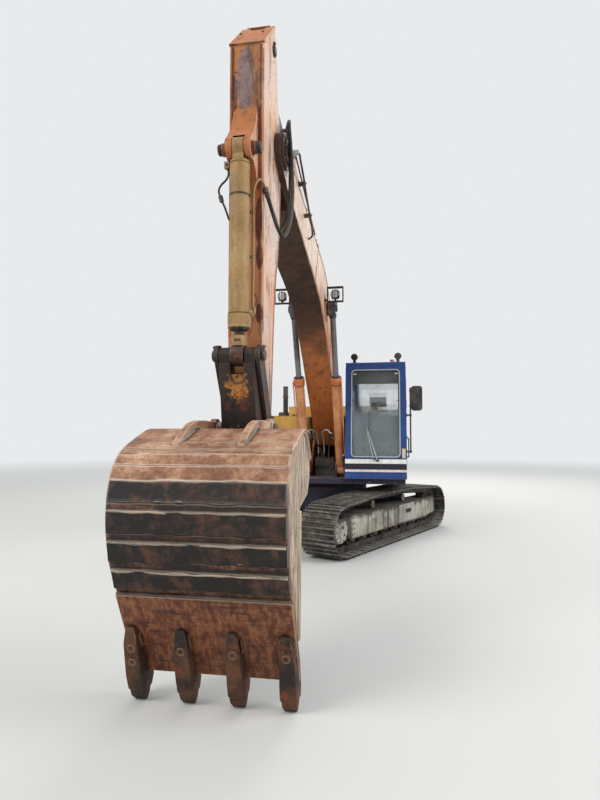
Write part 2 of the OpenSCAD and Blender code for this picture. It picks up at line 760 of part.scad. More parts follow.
module boom() {
    top = [boom_share(0.0104, 160), boom_share(0.1, 480), boom_share(0.19, 780), boom_share(0.33, 1140),
           boom_share(0.38, 1218), boom_share(0.426, 1258), boom_share(0.472, 1262), boom_share(0.522, 1210),
           boom_share(0.575, 1113), boom_share(knee, knee_h), on_boom(boom_l + 40, 170)];
    low = [on_boom(boom_l, -175), boom_share(0.948, -150), boom_share(0.644, 330), boom_share(0.592, 405),
           boom_share(0.54, 450), boom_share(0.497, 456), boom_share(0.452, 440), boom_share(0.4, 395), boom_share(0.348, 330),
           boom_share(0.122, 10), on_boom(0, -165)];
    color(orange) difference() {
        union() {
            prof(-boom_half_w, boom_half_w) {
                polygon(concat(top, low));
                translate(foot) circle(r = 165);
                translate(boom_tip) circle(r = 175);
            }
            // Bosses at the cylinder pins and at the tip
            across(boom_rod[0], boom_rod[1], 110, -ram_v + rod_eye_half + fit, ram_v - rod_eye_half - fit);
            across(boom_tip[0], boom_tip[1], 162, -boom_half_w - 25, boom_half_w + 25);
            across(boom_tip[0], boom_tip[1], 110, -boom_half_w - 45, boom_half_w + 45);
            // Stick cylinder bracket
            prof(-95, 95) {
                polygon([boom_share(0.305, 1050), stick_ram_foot + [-90, 60], stick_ram_foot + [90, 60], boom_share(0.4525, 1150)]);
                translate(stick_ram_foot) circle(r = 108);
            }
        }
        // Fork for the stick
        block(boom_tip[0] - 530, boom_tip[0] + 300, -stick_half_w - gap, stick_half_w + gap, boom_tip[1] - 500, boom_tip[1] + 500);
        // Gap for the stick cylinder's foot
        prof(-62, 62) {
            polygon([stick_ram_foot + [-140, -140], stick_ram_foot + [400, -70], stick_ram_foot + [400, 300],
                     stick_ram_foot + [-140, 300]]);
        }
        across(stick_ram_foot[0], stick_ram_foot[1], pin_r + fit, -100, 100);
        across(boom_tip[0], boom_tip[1], pin_r + fit, -300, 300);
    }
    color(steel) across(foot_u, foot_z, pin_r + 10, -main_v - 39, main_v + 39);
}

pipe_r = 14;
knee = 0.6265;
knee_h = 1000;
fall = (knee_h - 170) / (boom_l * (1 - knee) + 40);
// Height of the boom's top edge above the chord, forward of the knee
function boom_top_h(k) = knee_h - (k - knee) * boom_l * fall;

module boom_pipes() {
    h = (pipe_r + fit) / cos(atan(fall));
    color(steel) for (v = [-60, 0, 60]) prof(v - pipe_r, v + pipe_r)
        bar2d(boom_share(0.644, boom_top_h(0.644) + h), boom_share(0.87, boom_top_h(0.87) + h), pipe_r, pipe_r);
}

guard_w = 240;
guard_h = 220;
guard_t = 14;

// Round lamps in square guards beside the cylinder pins
module boom_lamps() {
    u = boom_rod[0] + 190;
    z = boom_rod[1] + 40;
    color(cream) for (s = [-1, 1]) {
        v = s > 0 ? boom_half_w + 40 : -boom_half_w - 100 - guard_w;
        difference() {
            block(u, u + 70, v, v + guard_w, z, z + guard_h);
            block(u - 1, u + 71, v + guard_t, v + guard_w - guard_t, z + guard_t, z + guard_h - guard_t);
        }
        translate([v + guard_w / 2, -u, z + guard_h / 2]) rotate([90, 0, 0]) cylinder(r = 62, h = 66);
        block(u + 20, u + 50, v + guard_w / 2 - 15, v + guard_w / 2 + 15, z + guard_t - 1, z + guard_h / 2);
        across(u + 35, z + guard_t + 16, 15, s > 0 ? boom_half_w + fit : v + guard_w - guard_t / 2,
               s > 0 ? v + guard_t / 2 : -boom_half_w - fit);
    }
}

// The stick, linkage and bucket are drawn where the boom's tip pin lies at tip_place, and follow the tip
tip_place = [5186.2, 4484.6];
arm_shift = boom_tip - tip_place;
rocker_foot = [5640, 1900];
rod_end = [5960, 2450];
bucket_pin = [5660, 1460];
link_pin = [5860, 1863];
bucket_ram_foot = [5970, 4140];
stick_rod = [5370, 5360];

module stick() {
    color(orange) difference() {
        union() {
            prof(-stick_half_w, stick_half_w) {
                polygon([[5270, 5520], [5180, 5010], [5010, 4560], [5040, 4300], [5090, 3730], [5290, 3050],
                         [5410, 2120], [5540, 1400], [5760, 1400], [5735, 1800], [5735, 2050], [5790, 2600], [5780, 5160],
                         [5360, 5590]]);
                translate(bucket_pin) circle(r = 118);
                translate(tip_place) circle(r = 170);
                translate(stick_rod) circle(r = 125);
            }
            // Cap plate over the sloping end, a little wider than the stick
            prof(-stick_half_w - 12, stick_half_w + 12)
                polygon([[5768, 5158], [5796, 5164], [5370, 5604], [5348, 5588]]);
            // Long cheeks of the bucket cylinder's bracket
            prof(-104, 104) {
                polygon(concat(smooth_line([[5700, 4700], [5785, 4620], [5845, 4470], [5920, 4330],
                                            bucket_ram_foot + [55, 70]], 4),
                               smooth_line([bucket_ram_foot + [40, -78], [5935, 4054], [5872, 4014], [5828, 3940],
                                            [5785, 3850], [5700, 3800]], 4)));
                translate(bucket_ram_foot) circle(r = 92);
            }
            for (s = [-1, 1]) across(bucket_ram_foot[0], bucket_ram_foot[1], 52, s > 0 ? 103 : -145, s > 0 ? 145 : -103);
            // Edges of the side plates, proud of the front plate
            for (s = [-1, 1]) prof(s > 0 ? stick_half_w - 16 : -stick_half_w, s > 0 ? stick_half_w : -stick_half_w + 16)
                polygon([[5700, 2700], [5797, 2640], [5790, 5150], [5700, 5100]]);
        }
        // Gap for the bucket cylinder's foot
        prof(-52, 52) {
            translate(bucket_ram_foot) circle(r = 105);
            translate(bucket_ram_foot + [-100, -600]) square([300, 600]);
        }
        across(bucket_ram_foot[0], bucket_ram_foot[1], 35 + fit, -100, 100);
        // Mouth for the stick cylinder's rod
        prof(-72, 72) {
            translate(stick_rod) circle(r = 122);
            polygon([[4900, 5030], [5340, 5040], [5480, 5080], stick_rod + [130, -110], stick_rod + [122, 0],
                     stick_rod + [86, 86], stick_rod + [20, 300], [4900, 6000]]);
        }
        across(rocker_foot[0], rocker_foot[1], 35 + fit, -200, 200);
        across(bucket_pin[0], bucket_pin[1], pin_r + fit, -200, 200);
    }
    color(steel) across(tip_place[0], tip_place[1], pin_r, -boom_half_w - 58, boom_half_w + 58);
}

// Points of a smooth line through p, n for each stretch
function smooth_line(p, n) = [for (i = [0 : len(p) - 2], j = [0 : n - 1]) let (
    a = p[max(i - 1, 0)], b = p[i], c = p[i + 1], d = p[min(i + 2, len(p) - 1)], t = j / n)
    0.5 * (2 * b + t * (c - a) + t * t * (2 * a - 5 * b + 4 * c - d) + t * t * t * (3 * b - a - 3 * c + d)),
    p[len(p) - 1]];

// The line moved to its right by t
function inward(p, t) = [for (i = [0 : len(p) - 1]) let (d = p[min(i + 1, len(p) - 1)] - p[max(i - 1, 0)])
    p[i] + t * [d[1], -d[0]] / norm(d)];

// The bucket's back, from the hinge side round to the lip
back_line = smooth_line([[6000, 1650], [6240, 1862], [6595, 1785], [6790, 1694], [6874, 1602], [6922, 1488],
                         [6941, 1320], [6924, 1154], [6885, 1006], [6816, 858], [6686, 648], [6596, 425]], 3);
mouth_line = [[6500, 400], [6480, 570], [6460, 980], [6430, 1320], [6100, 1380], [6000, 1500]];
// Wear strips, upper and lower edge
strips = [[[6650, 1771], [6742, 1733]], [[6800, 1702], [6864, 1633]], [[6918, 1536], [6950, 1404]],
          [[6960, 1347], [6952, 1212]], [[6940, 1150], [6913, 1030]], [[6884, 958], [6832, 842]]];
strip_v = bucket_half_w - 12;
ear_v0 = stick_half_w + 59;
ear_v1 = ear_v0 + 50;

module bucket() {
    inner = inward(back_line, shell_t);
    core = inward(back_line, shell_t * 0.6);
    n = len(inner);
    color(rust) difference() {
        union() {
            prof(-bucket_half_w, bucket_half_w)
                polygon(concat(back_line, [for (i = [n - 1 : -1 : 0]) inner[i]]));
            // Side plates, set in from the shell's edge
            for (s = [-1, 1]) prof(s > 0 ? bucket_half_w - 15 - shell_t : 15 - bucket_half_w,
                                   s > 0 ? bucket_half_w - 15 : 15 + shell_t - bucket_half_w)
                polygon(concat(core, mouth_line));
            for (q = strips) let (d = (q[1] - q[0]) / norm(q[1] - q[0]), back = 34 * [d[1], -d[0]])
                prof(-strip_v, strip_v) polygon([q[0], q[1], q[1] + back, q[0] + back]);
            // Hinge ears, their rear ends run out on the bucket's top
            for (s = [-1, 1]) prof(s > 0 ? ear_v0 : -ear_v1, s > 0 ? ear_v1 : -ear_v0) {
                polygon([bucket_pin + [-90, -70], bucket_pin + [70, -95], [6100, 1420], [6400, 1700], [6690, 1735],
                         [6700, 1765], [6570, 1842], [6450, 1900], [6330, 1925], [6160, 1930],
                         link_pin + [60, 60], link_pin + [-60, 60]]);
                translate(bucket_pin) circle(r = 118);
                translate(link_pin) circle(r = 86);
            }
            // Bosses between ears and stick
            for (s = [-1, 1]) {
                across(bucket_pin[0], bucket_pin[1], 95, s > 0 ? stick_half_w + gap : -ear_v1 - 12,
                       s > 0 ? ear_v1 + 12 : -stick_half_w - gap);
                across(link_pin[0], link_pin[1], 66, s > 0 ? stick_half_w + gap : -ear_v1 - 10,
                       s > 0 ? ear_v1 + 10 : -stick_half_w - gap);
            }
            // Lip plate
            prof(-bucket_half_w, bucket_half_w)
                polygon([[6796, 782], [6610, 422], [6521, 196], [6478, 204], [6502, 330], [6560, 440], [6740, 760]]);
        }
        across(bucket_pin[0], bucket_pin[1], pin_r + fit, -ear_v1 - 40, ear_v1 + 40);
        across(link_pin[0], link_pin[1], 38, -ear_v1 - 40, ear_v1 + 40);
    }
    color(steel) across(bucket_pin[0], bucket_pin[1], pin_r, -ear_v1 - 30, ear_v1 + 30);
}

module bucket_teeth() {
    half = 62;
    color(steel) for (i = [0 : tooth_n - 1]) {
        v = -bucket_half_w + 62 + i * (2 * bucket_half_w - 124) / (tooth_n - 1);
        // Adapter with its strap over the lip
        prof(v - half, v + half)
            polygon([[6478, 204 - fit], [6521, 196 - fit], [6522, 196 - fit], [6611, 422], [6672, 540], [6688, 556],
                     [6704, 556], [6716, 540], [6717, 515], [6672, 330], [6634, 190], [6592, 90], [6470, 84],
                     [6440, 150], [6452, 204 - fit]]);
        // Tooth
        prof(v - half + 10, v + half - 10)
            polygon([[6586, 91], [6568, 40], [6524, 1], [6500, 1], [6474, 40], [6474, 91]]);
    }
}

bar_v0 = stick_half_w + 12;
bar_v1 = bar_v0 + 28;

module rocker_links() {
    color(steel) for (s = [-1, 1]) {
        prof(s > 0 ? bar_v0 : -bar_v1, s > 0 ? bar_v1 : -bar_v0) bar2d(rocker_foot, rod_end, 80, 85);
        across(rod_end[0], rod_end[1], 35, s > 0 ? 56 : -bar_v1 - 12, s > 0 ? bar_v1 + 12 : -56);
        across(rocker_foot[0], rocker_foot[1], 35, s > 0 ? 40 : -bar_v1 - 12, s > 0 ? bar_v1 + 12 : -40);
    }
}

link_cut_r = 158;

module bucket_link() {
    color(steel) difference() {
        union() {
            for (s = [-1, 1]) prof(s > 0 ? 60 : -stick_half_w, s > 0 ? stick_half_w : -60) bar2d(link_pin, rod_end, 85, 66);
            // Plate between the arms, cut round below the rod's eye
            prof(-61, 61) difference() {
                bar2d(link_pin, rod_end, 82, 63);
                translate(rod_end) circle(r = link_cut_r);
            }
        }
        across(rod_end[0], rod_end[1], 35 + fit, -200, 200);
    }
}

// A cylinder's barrel from a towards b, len long, with its eye and pin at a and its gland at the end
module barrel(a, b, len, v, r, eye_r, eye_half, pin, pin_half, start, bore) {
    d = b - a;
    ang = atan2(d[1], d[0]);
    wall = 14;
    gland_l = 110;
    across(a[0], a[1], eye_r, v - eye_half, v + eye_half);
    across(a[0], a[1], pin, v - pin_half, v + pin_half);
    translate([v, -a[0], a[1]]) rotate([90 - ang, 0, 0]) {
        translate([2 - eye_half, -r * 0.8, 0]) cube([2 * eye_half - 4, r * 1.6, start + 1]);
        difference() {
            union() {
                translate([0, 0, start]) cylinder(r = r, h = len - start);
                translate([0, 0, len - gland_l]) cylinder(r = r + 12, h = gland_l);
            }
            translate([0, 0, start + 30]) cylinder(r = r - wall, h = len - start - 30 - gland_l);
            translate([0, 0, start + 31]) cylinder(r = bore + bearing_gap, h = len);
        }
    }
}

// A cylinder's rod with its eye at b
module rod(a, b, back, v, r, eye_r, eye_half) {
    d = b - a;
    ang = atan2(d[1], d[0]);
    across(b[0], b[1], eye_r, v - eye_half, v + eye_half);
    translate([v, -b[0], b[1]]) rotate([90 - ang, 0, 0]) translate([0, 0, -back]) cylinder(r = r, h = back - eye_r + 40);
}

ram_bore = 76;
boom_barrel_l = 1650;

module boom_barrel(s) {
    color(orange) barrel(ram_foot, boom_rod, boom_barrel_l, s * ram_v, ram_bore, 95, 54, pin_r, 84, lug_r + 12, 44);
}

module boom_rod_part(s) {
    color(steel) rod(ram_foot, boom_rod, 1330, s * ram_v, 44, 105, rod_eye_half);
}

stick_barrel_l = 1900;

module stick_barrel() {
    color(orange) barrel(stick_ram_foot, stick_rod + arm_shift, stick_barrel_l, 0, 82, 100, 58, pin_r, 94, 125, 48);
}

module stick_rod_part() {
    color(steel) rod(stick_ram_foot, stick_rod + arm_shift, 1700, 0, 48, 88, 62);
}

bucket_barrel_l = 1470;

module bucket_barrel() {
    color(orange) barrel(bucket_ram_foot, rod_end, bucket_barrel_l, 0, 80, 88, 48, 35, 91, 108, 40);
}

module bucket_rod() {
    color(steel) rod(bucket_ram_foot, rod_end, 1380, 0, 40, 85, 50);
}

module placed() translate([0, origin_u, 0]) children();
module placed_arm() translate([0, origin_u - arm_shift[0], arm_shift[1]]) children();

placed() carbody();
placed() swing_ring();
placed() track_frame(0);  // track_frame_left
placed() track_frame(1);  // track_frame_right
placed() track(1);  // track_left
placed() track(-1);  // track_right
placed() sprockets();
placed() idlers();
placed() track_rollers();
placed() revolving_frame();
placed() counterweight();
placed() engine();
placed() radiator();
placed() valve_block();
placed() fuel_tank();
placed() hydraulic_tank();
placed() tool_box();
placed() house_frame();
placed() exhaust();
placed() engine_hood();
placed() pump_door();
placed() radiator_door();
placed() cab_floor();
placed() cab_front();
placed() cab_side();
placed() cab_inner_wall();
placed() cab_rear();
placed() cab_roof();
placed() cab_glass();
placed() cab_door();
placed() door_glass();
placed() seat();
placed() controls();
placed() handrails();
placed() mirrors();  // mirror
placed() cab_lamps();
placed() boom();
placed() boom_pipes();
placed() boom_lamps();
placed_arm() stick();
placed_arm() bucket();
placed_arm() bucket_teeth();
placed_arm() rocker_links();
placed_arm() bucket_link();
placed() boom_barrel(1);  // boom_barrel_left
placed() boom_barrel(-1);  // boom_barrel_right
placed() boom_rod_part(1);  // boom_rod_left
placed() boom_rod_part(-1);  // boom_rod_right
placed() stick_barrel();
placed() stick_rod_part();  // stick_rod
placed_arm() bucket_barrel();
placed_arm() bucket_rod();
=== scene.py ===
"""Looks of a used crawler excavator, built around its packed CAD model."""

import math
import random

import bmesh
import bpy
from mathutils import Matrix, Vector, noise


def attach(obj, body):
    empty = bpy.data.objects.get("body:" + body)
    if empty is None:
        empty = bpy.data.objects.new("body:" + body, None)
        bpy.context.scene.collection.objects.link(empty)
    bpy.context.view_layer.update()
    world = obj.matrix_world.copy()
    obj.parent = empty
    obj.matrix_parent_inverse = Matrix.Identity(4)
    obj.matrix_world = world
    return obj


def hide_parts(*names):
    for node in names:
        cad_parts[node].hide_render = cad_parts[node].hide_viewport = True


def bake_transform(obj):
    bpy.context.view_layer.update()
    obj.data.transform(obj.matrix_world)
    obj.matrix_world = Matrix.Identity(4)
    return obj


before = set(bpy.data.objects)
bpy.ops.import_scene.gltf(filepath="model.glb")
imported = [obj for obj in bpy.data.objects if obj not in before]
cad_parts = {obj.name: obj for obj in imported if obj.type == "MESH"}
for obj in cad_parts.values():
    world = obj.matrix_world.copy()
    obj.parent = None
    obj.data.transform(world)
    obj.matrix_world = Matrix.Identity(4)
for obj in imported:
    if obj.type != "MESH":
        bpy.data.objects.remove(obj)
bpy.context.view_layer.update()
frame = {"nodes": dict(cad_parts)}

bl_info = {
    "name": "Crawler excavator looks",
    "version": (1, 0, 0),
    "blender": (4, 5, 0),
    "location": "View3D > Sidebar > Excavator",
    "description": "Finishes and detail pieces of a used crawler excavator",
    "category": "Object",
}

# Where the swing axis lies along the row frame's y, in metres
SWING_Y = 2.09
# The machine's pins: forward of the swing axis, and up
BOOM_FOOT = (0.137, 1.742)
BOOM_TIP = (5.186, 4.485)
BOOM_RAM_PIN = (1.973, 3.691)
RAM_FOOT = (0.8, 1.2)
RAM_SIDE = 0.297
STICK_RAM_FOOT = (2.2, 4.55)
STICK_RAM_PIN = (5.37, 5.36)
BUCKET_RAM_FOOT = (5.97, 4.14)
LINK_TOP = (5.96, 2.45)
ROCKER_FOOT = (5.64, 1.9)
BUCKET_PIN = (5.66, 1.46)
LINK_PIN = (5.86, 1.863)

# Turn of the undercarriage about the swing axis
UNDER_DEGREES = -25.44
TO_SWING_AXIS = Matrix.Translation((0, SWING_Y, 0))
UNDER_TURN = TO_SWING_AXIS @ Matrix.Rotation(math.radians(UNDER_DEGREES), 4, "Z") @ TO_SWING_AXIS.inverted()


def at(u, z, v=0.0):
    """The row frame's point at u forward of the swing axis, z up and v to the cab's side."""
    return Vector((v, SWING_Y - u, z))


def heading(u, z, v=0.0):
    """A direction, given like a place of the machine."""
    return at(u, z, v) - at(0, 0)


def shade(red, green, blue):
    """A colour given as 0 to 255 on a screen, as the shader's linear values."""
    linear = [c / 255 / 12.92 if c < 10.3 else ((c / 255 + 0.055) / 1.055) ** 2.4
              for c in (red, green, blue)]
    return (*linear, 1.0)


# Shader tools


class Signal:
    """A shader socket that Python's operators work on."""

    def __init__(self, shader, socket):
        self.shader = shader
        self.socket = socket

    def math(self, operation, *values):
        return self.shader.math(operation, self, *values)

    def __add__(self, other):
        return self.math("ADD", other)

    __radd__ = __add__

    def __mul__(self, other):
        return self.math("MULTIPLY", other)

    __rmul__ = __mul__

    def __sub__(self, other):
        return self.math("SUBTRACT", other)

    def __rsub__(self, other):
        return self.shader.math("SUBTRACT", other, self)

    def __abs__(self):
        return self.math("ABSOLUTE")

    def smooth(self, low, high):
        """0 below low, 1 above high and a soft step between; low may be the higher."""
        return self.shader.node(
            "MapRange", {"interpolation_type": "SMOOTHSTEP"},
            {"Value": self, "From Min": low, "From Max": high},
        )

    def band(self, low, high, soft):
        """1 between low and high."""
        return self.smooth(low - soft, low + soft) * self.smooth(high + soft, high - soft)


class Nodes:
    """The node tree of a world or of a material."""

    def __init__(self, tree):
        self.tree = tree
        self.tree.nodes.clear()

    def node(self, kind, settings=None, inputs=None, output=0):
        made = self.tree.nodes.new("ShaderNode" + kind)
        for key, value in (settings or {}).items():
            setattr(made, key, value)
        for key, value in (inputs or {}).items():
            socket = made.inputs[key]
            if isinstance(value, Signal):
                self.tree.links.new(value.socket, socket)
            else:
                socket.default_value = value
        return Signal(self, made.outputs[output]) if made.outputs else made

    def math(self, operation, *values):
        return self.node("Math", {"operation": operation}, dict(enumerate(values)))


class Shader(Nodes):
    """A material's nodes, with the places, masks and noises that its finishes are made of."""

    def __init__(self, name):
        self.material = bpy.data.materials.new(name)
        self.material.use_nodes = True
        super().__init__(self.material.node_tree)
        self.place = self.node("TexCoord", output="Object")
        self.normal = self.node("TexCoord", output="Normal")
        self.x, self.y, self.z = self.parts(self.place)
        self.nx, self.ny, self.nz = self.parts(self.normal)

    def parts(self, vector):
        split = self.node("SeparateXYZ", None, {0: vector})
        return [Signal(self, socket) for socket in split.socket.node.outputs]

    def mix(self, factor, first, second):
        return self.node("Mix", {"data_type": "RGBA"}, {0: factor, 6: first, 7: second}, 2)

    def noise(self, scale, detail=4.0, rough=0.6, stretch=None, offset=0.0):
        place = self.place
        if stretch:
            place = self.node("VectorMath", {"operation": "MULTIPLY"}, {0: place, 1: stretch})
        if offset:
            place = self.node("VectorMath", {"operation": "ADD"}, {0: place, 1: (offset, offset, offset)})
        inputs = {"Vector": place, "Scale": scale, "Detail": detail, "Roughness": rough}
        return self.node("TexNoise", None, inputs)

    def edges(self, radius):
        """About 0 on flat faces and rising to 1 on edges that turn within radius."""
        rounded = self.node("Bevel", {"samples": 4}, {"Radius": radius})
        flat = self.node("NewGeometry", None, None, "Normal")
        likeness = self.node("VectorMath", {"operation": "DOT_PRODUCT"}, {0: rounded, 1: flat}, "Value")
        return (1 - likeness).smooth(0.0, 0.18)

    def corner_shade(self, distance):
        """1 deep in corners and gaps, 0 in the open."""
        open_air = self.node("AmbientOcclusion", {"samples": 4}, {"Distance": distance}, "AO")
        return (1 - open_air).smooth(0.35, 0.9)

    def near(self, centre, size, soft=1.0):
        """1 at a centre in the row frame and 0 at the size, which is a number for each way."""
        shifted = self.node("VectorMath", {"operation": "SUBTRACT"}, {0: self.place, 1: tuple(centre)})
        scaled = self.node("VectorMath", {"operation": "DIVIDE"}, {0: shifted, 1: tuple(size)})
        reach = self.node("VectorMath", {"operation": "LENGTH"}, {0: scaled}, "Value")
        return reach.smooth(1.0, 1.0 - soft)

    def bump(self, height, strength, distance):
        return self.node("Bump", None, {"Height": height, "Strength": strength, "Distance": distance})

    def lay(self, mask, colour):
        """Lay a colour over the tone so far, where the mask is."""
        self.tone = self.mix(mask, self.tone, colour)

    def finish(self, roughness, normal=None, **more):
        inputs = {"Base Color": self.tone, "Roughness": roughness}
        if normal:
            inputs["Normal"] = normal
        inputs.update(more)
        body = self.node("BsdfPrincipled", None, inputs)
        self.node("OutputMaterial", None, {"Surface": body})
        return self.material


RUST_DARK = shade(52, 30, 20)
RUST_BRIGHT = shade(140, 70, 34)
DUST = shade(150, 140, 124)
# Soot, and also the colour of the painted shade laid in corners and gaps
SOOT_AND_SHADE = shade(22, 19, 18)
# Bands across the cab's skirt: lower edge, upper edge and colour
CAB_BANDS = (
    (1.33, 1.4, shade(232, 232, 228)),
    (1.24, 1.33, shade(7, 9, 30)),
    (1.2, 1.236, shade(226, 208, 190)),
)
# Red rust on the stick's front: forward, up, across and its reach up and down
STICK_RUST = ((5.79, 3.62, 0.115, 0.3), (5.79, 3.3, 0.12, 0.16), (5.78, 2.82, 0.12, 0.12),
              (5.8, 4.72, -0.11, 0.3))


def rust_of(shader):
    """Rust between dark and bright."""
    return shader.mix(shader.noise(18, 5, 0.7, offset=7.0).smooth(0.35, 0.65), RUST_DARK, RUST_BRIGHT)


def painted(name, colour, faded, rust=0.5, runs=0.5, dust=0.4, rough=0.5, edge=0.01, chip=0.5, stained=None,
            banded=False, inlay=None, topsoil=None):
    """Weathered paint: faded patches, runs of dirt, settled dust, chips to rusted steel at the edges."""
    s = Shader(name)
    broad = s.noise(0.9, 5, 0.6)
    middle = s.noise(5.5, 6, 0.65)
    fine = s.noise(48, 5, 0.7)
    s.tone = s.mix((broad * 0.6 + middle * 0.4).smooth(0.42, 0.6), colour, faded)
    s.lay(fine.smooth(0.35, 0.75) * 0.25, SOOT_AND_SHADE)
    if banded:
        front = (s.ny * -1).smooth(0.5, 0.7)
        for low, high, stripe in CAB_BANDS:
            s.lay(s.z.band(low, high, 0.002) * front, stripe)
    if inlay:
        # A patch of the old orange, given by its middle and its reach
        orange = s.mix(middle.smooth(0.4, 0.62), shade(172, 92, 38), shade(96, 54, 30))
        s.lay(s.near(*inlay, 0.05), orange)
    upright = abs(s.nz).smooth(0.8, 0.3)
    ragged = s.noise(3.0, 5, 0.6, offset=14.0) * 0.5
    drawn = s.noise(1.0, 6, 0.66, stretch=(11, 11, 1.6)) * 0.7 + ragged
    streak = drawn.smooth(0.52, 0.74) * upright * runs
    if stained:
        # The dirtiest stretch, given by its middle and its reach
        runs_down = s.noise(1.0, 6, 0.7, stretch=(24, 24, 1.6)).smooth(0.4, 0.62)
        streak = streak + s.near(*stained, 0.6) * runs_down * upright
    s.lay(s.math("MINIMUM", streak, 0.92), s.mix(middle.smooth(0.4, 0.6), shade(74, 50, 34), SOOT_AND_SHADE))
    if topsoil:
        drip = s.noise(1.0, 5, 0.6, stretch=(9, 9, 2.5), offset=8.0) - 0.5
        wet = (s.z + drip * 0.3).smooth(topsoil - 0.08, topsoil)
        s.lay(wet * 0.9, s.mix(fine.smooth(0.4, 0.6), shade(40, 36, 32), SOOT_AND_SHADE))
        blots = s.noise(6, 6, 0.76, offset=15.0).smooth(0.55, 0.66) * broad.smooth(0.4, 0.6)
        s.lay(blots * 0.8, shade(58, 50, 42))
    ledge = s.nz.smooth(0.55, 0.95) * middle.smooth(0.3, 0.62) * dust
    s.lay(ledge, DUST)
    # Painted shade in corners and gaps
    s.lay(s.corner_shade(0.09) * 0.75, SOOT_AND_SHADE)
    worn = (s.edges(edge) * 0.9 + middle * 0.5 + fine * 0.5).smooth(1.0 - 0.3 * chip, 1.2 - 0.3 * chip)
    flecks = s.noise(26, 3, 0.5, offset=3.0).smooth(0.66, 0.7) * broad.smooth(0.4, 0.6) * rust
    bare = s.math("MAXIMUM", worn, flecks)
    s.lay(bare, rust_of(s))
    roughness = rough + fine * 0.25 + bare * 0.2
    height = fine * 0.25 + middle * 0.5 - bare * 0.6
    return s.finish(roughness, s.bump(height, 0.3, 0.004))


def arm_base(name, colour, faded):
    """The orange paint that boom and stick share, with its bleached sides, before their own marks."""
    s = Shader(name)
    s.broad = s.noise(0.8, 5, 0.62)
    s.middle = s.noise(4.5, 6, 0.66)
    s.fine = s.noise(40, 5, 0.7)
    # Side faces, painted paler as a sky reflection
    s.side = abs(s.nx).smooth(0.5, 0.9)
    s.front = (s.ny * -1 - s.nz * 0.6).smooth(0.15, 0.7)
    # Random faded patches, laid far stronger on the sides: real fading together with a painted sky
    # reflection
    s.tone = s.mix((s.broad * 0.6 + s.middle * 0.4).smooth(0.42, 0.6) * (0.15 + s.side * 0.75),
                   colour, faded)
    return s


def arm_finish(s):
    """Scuffs, runs, dust, rubbed edges and rust over the arm's paint."""
    scuffs = s.noise(1.0, 6, 0.72, stretch=(8, 8, 2.4)).smooth(0.53, 0.66)
    s.lay(scuffs * 0.7, s.mix(s.middle.smooth(0.42, 0.58), shade(104, 58, 34), shade(46, 33, 27)))
    streak = s.noise(1.0, 6, 0.64, stretch=(18, 18, 0.8), offset=5.0).smooth(0.52, 0.74)
    s.lay(streak * 0.6, shade(82, 46, 30))
    pale = s.noise(1.0, 6, 0.66, stretch=(20, 20, 1.4), offset=9.0).smooth(0.56, 0.74)
    s.lay(pale * s.side * 0.5, shade(222, 202, 184))
    s.lay(s.fine.smooth(0.4, 0.8) * 0.3, SOOT_AND_SHADE)
    s.lay(s.nz.smooth(0.5, 0.95) * s.middle.smooth(0.3, 0.6) * 0.4, shade(150, 130, 112))
    # Painted shade in corners and gaps
    s.lay(s.corner_shade(0.12) * 0.85, shade(30, 22, 18))
    worn = (s.edges(0.014) * 0.85 + s.middle * 0.4 + s.fine * 0.3).smooth(0.86, 1.06)
    s.lay(worn * 0.75, s.mix(s.middle.smooth(0.45, 0.6), rust_of(s), shade(196, 158, 128)))
    flecks = s.noise(21, 3, 0.5, offset=3.0).smooth(0.64, 0.69) * s.broad.smooth(0.36, 0.6)
    s.lay(flecks, rust_of(s))
    bare = s.math("MAXIMUM", worn, flecks)
    height = s.fine * 0.2 + s.middle * 0.5 - bare * 0.6
    return s.finish(0.46 + s.fine * 0.28 + bare * 0.2, s.bump(height, 0.35, 0.004))


def boom_paint(name, colour, faded):
    """The boom: nearly black under its tip, warm and brown further down, bleached sides."""
    s = arm_base(name, colour, faded)
    s.lay(s.front * s.z.smooth(3.6, 2.4) * 0.55, shade(190, 108, 42))
    # Painted shadow on the front and underside, high up towards the tip
    high = s.front * (s.z + s.middle * 1.4).smooth(3.3, 4.3)
    s.lay(high * 0.97, s.mix(s.middle.smooth(0.44, 0.62), shade(16, 11, 9), shade(64, 37, 20)))
    # Painted highlight: the sides paler high up
    s.lay(s.side * s.z.smooth(3.3, 4.2) * 0.6, shade(206, 194, 178))
    tip = s.near(at(*BOOM_TIP), (0.5, 0.34, 0.34), 0.5)
    s.lay((tip + s.middle * 0.6 - 0.3).smooth(0.3, 0.6) * 0.9, shade(50, 36, 32))
    return arm_finish(s)


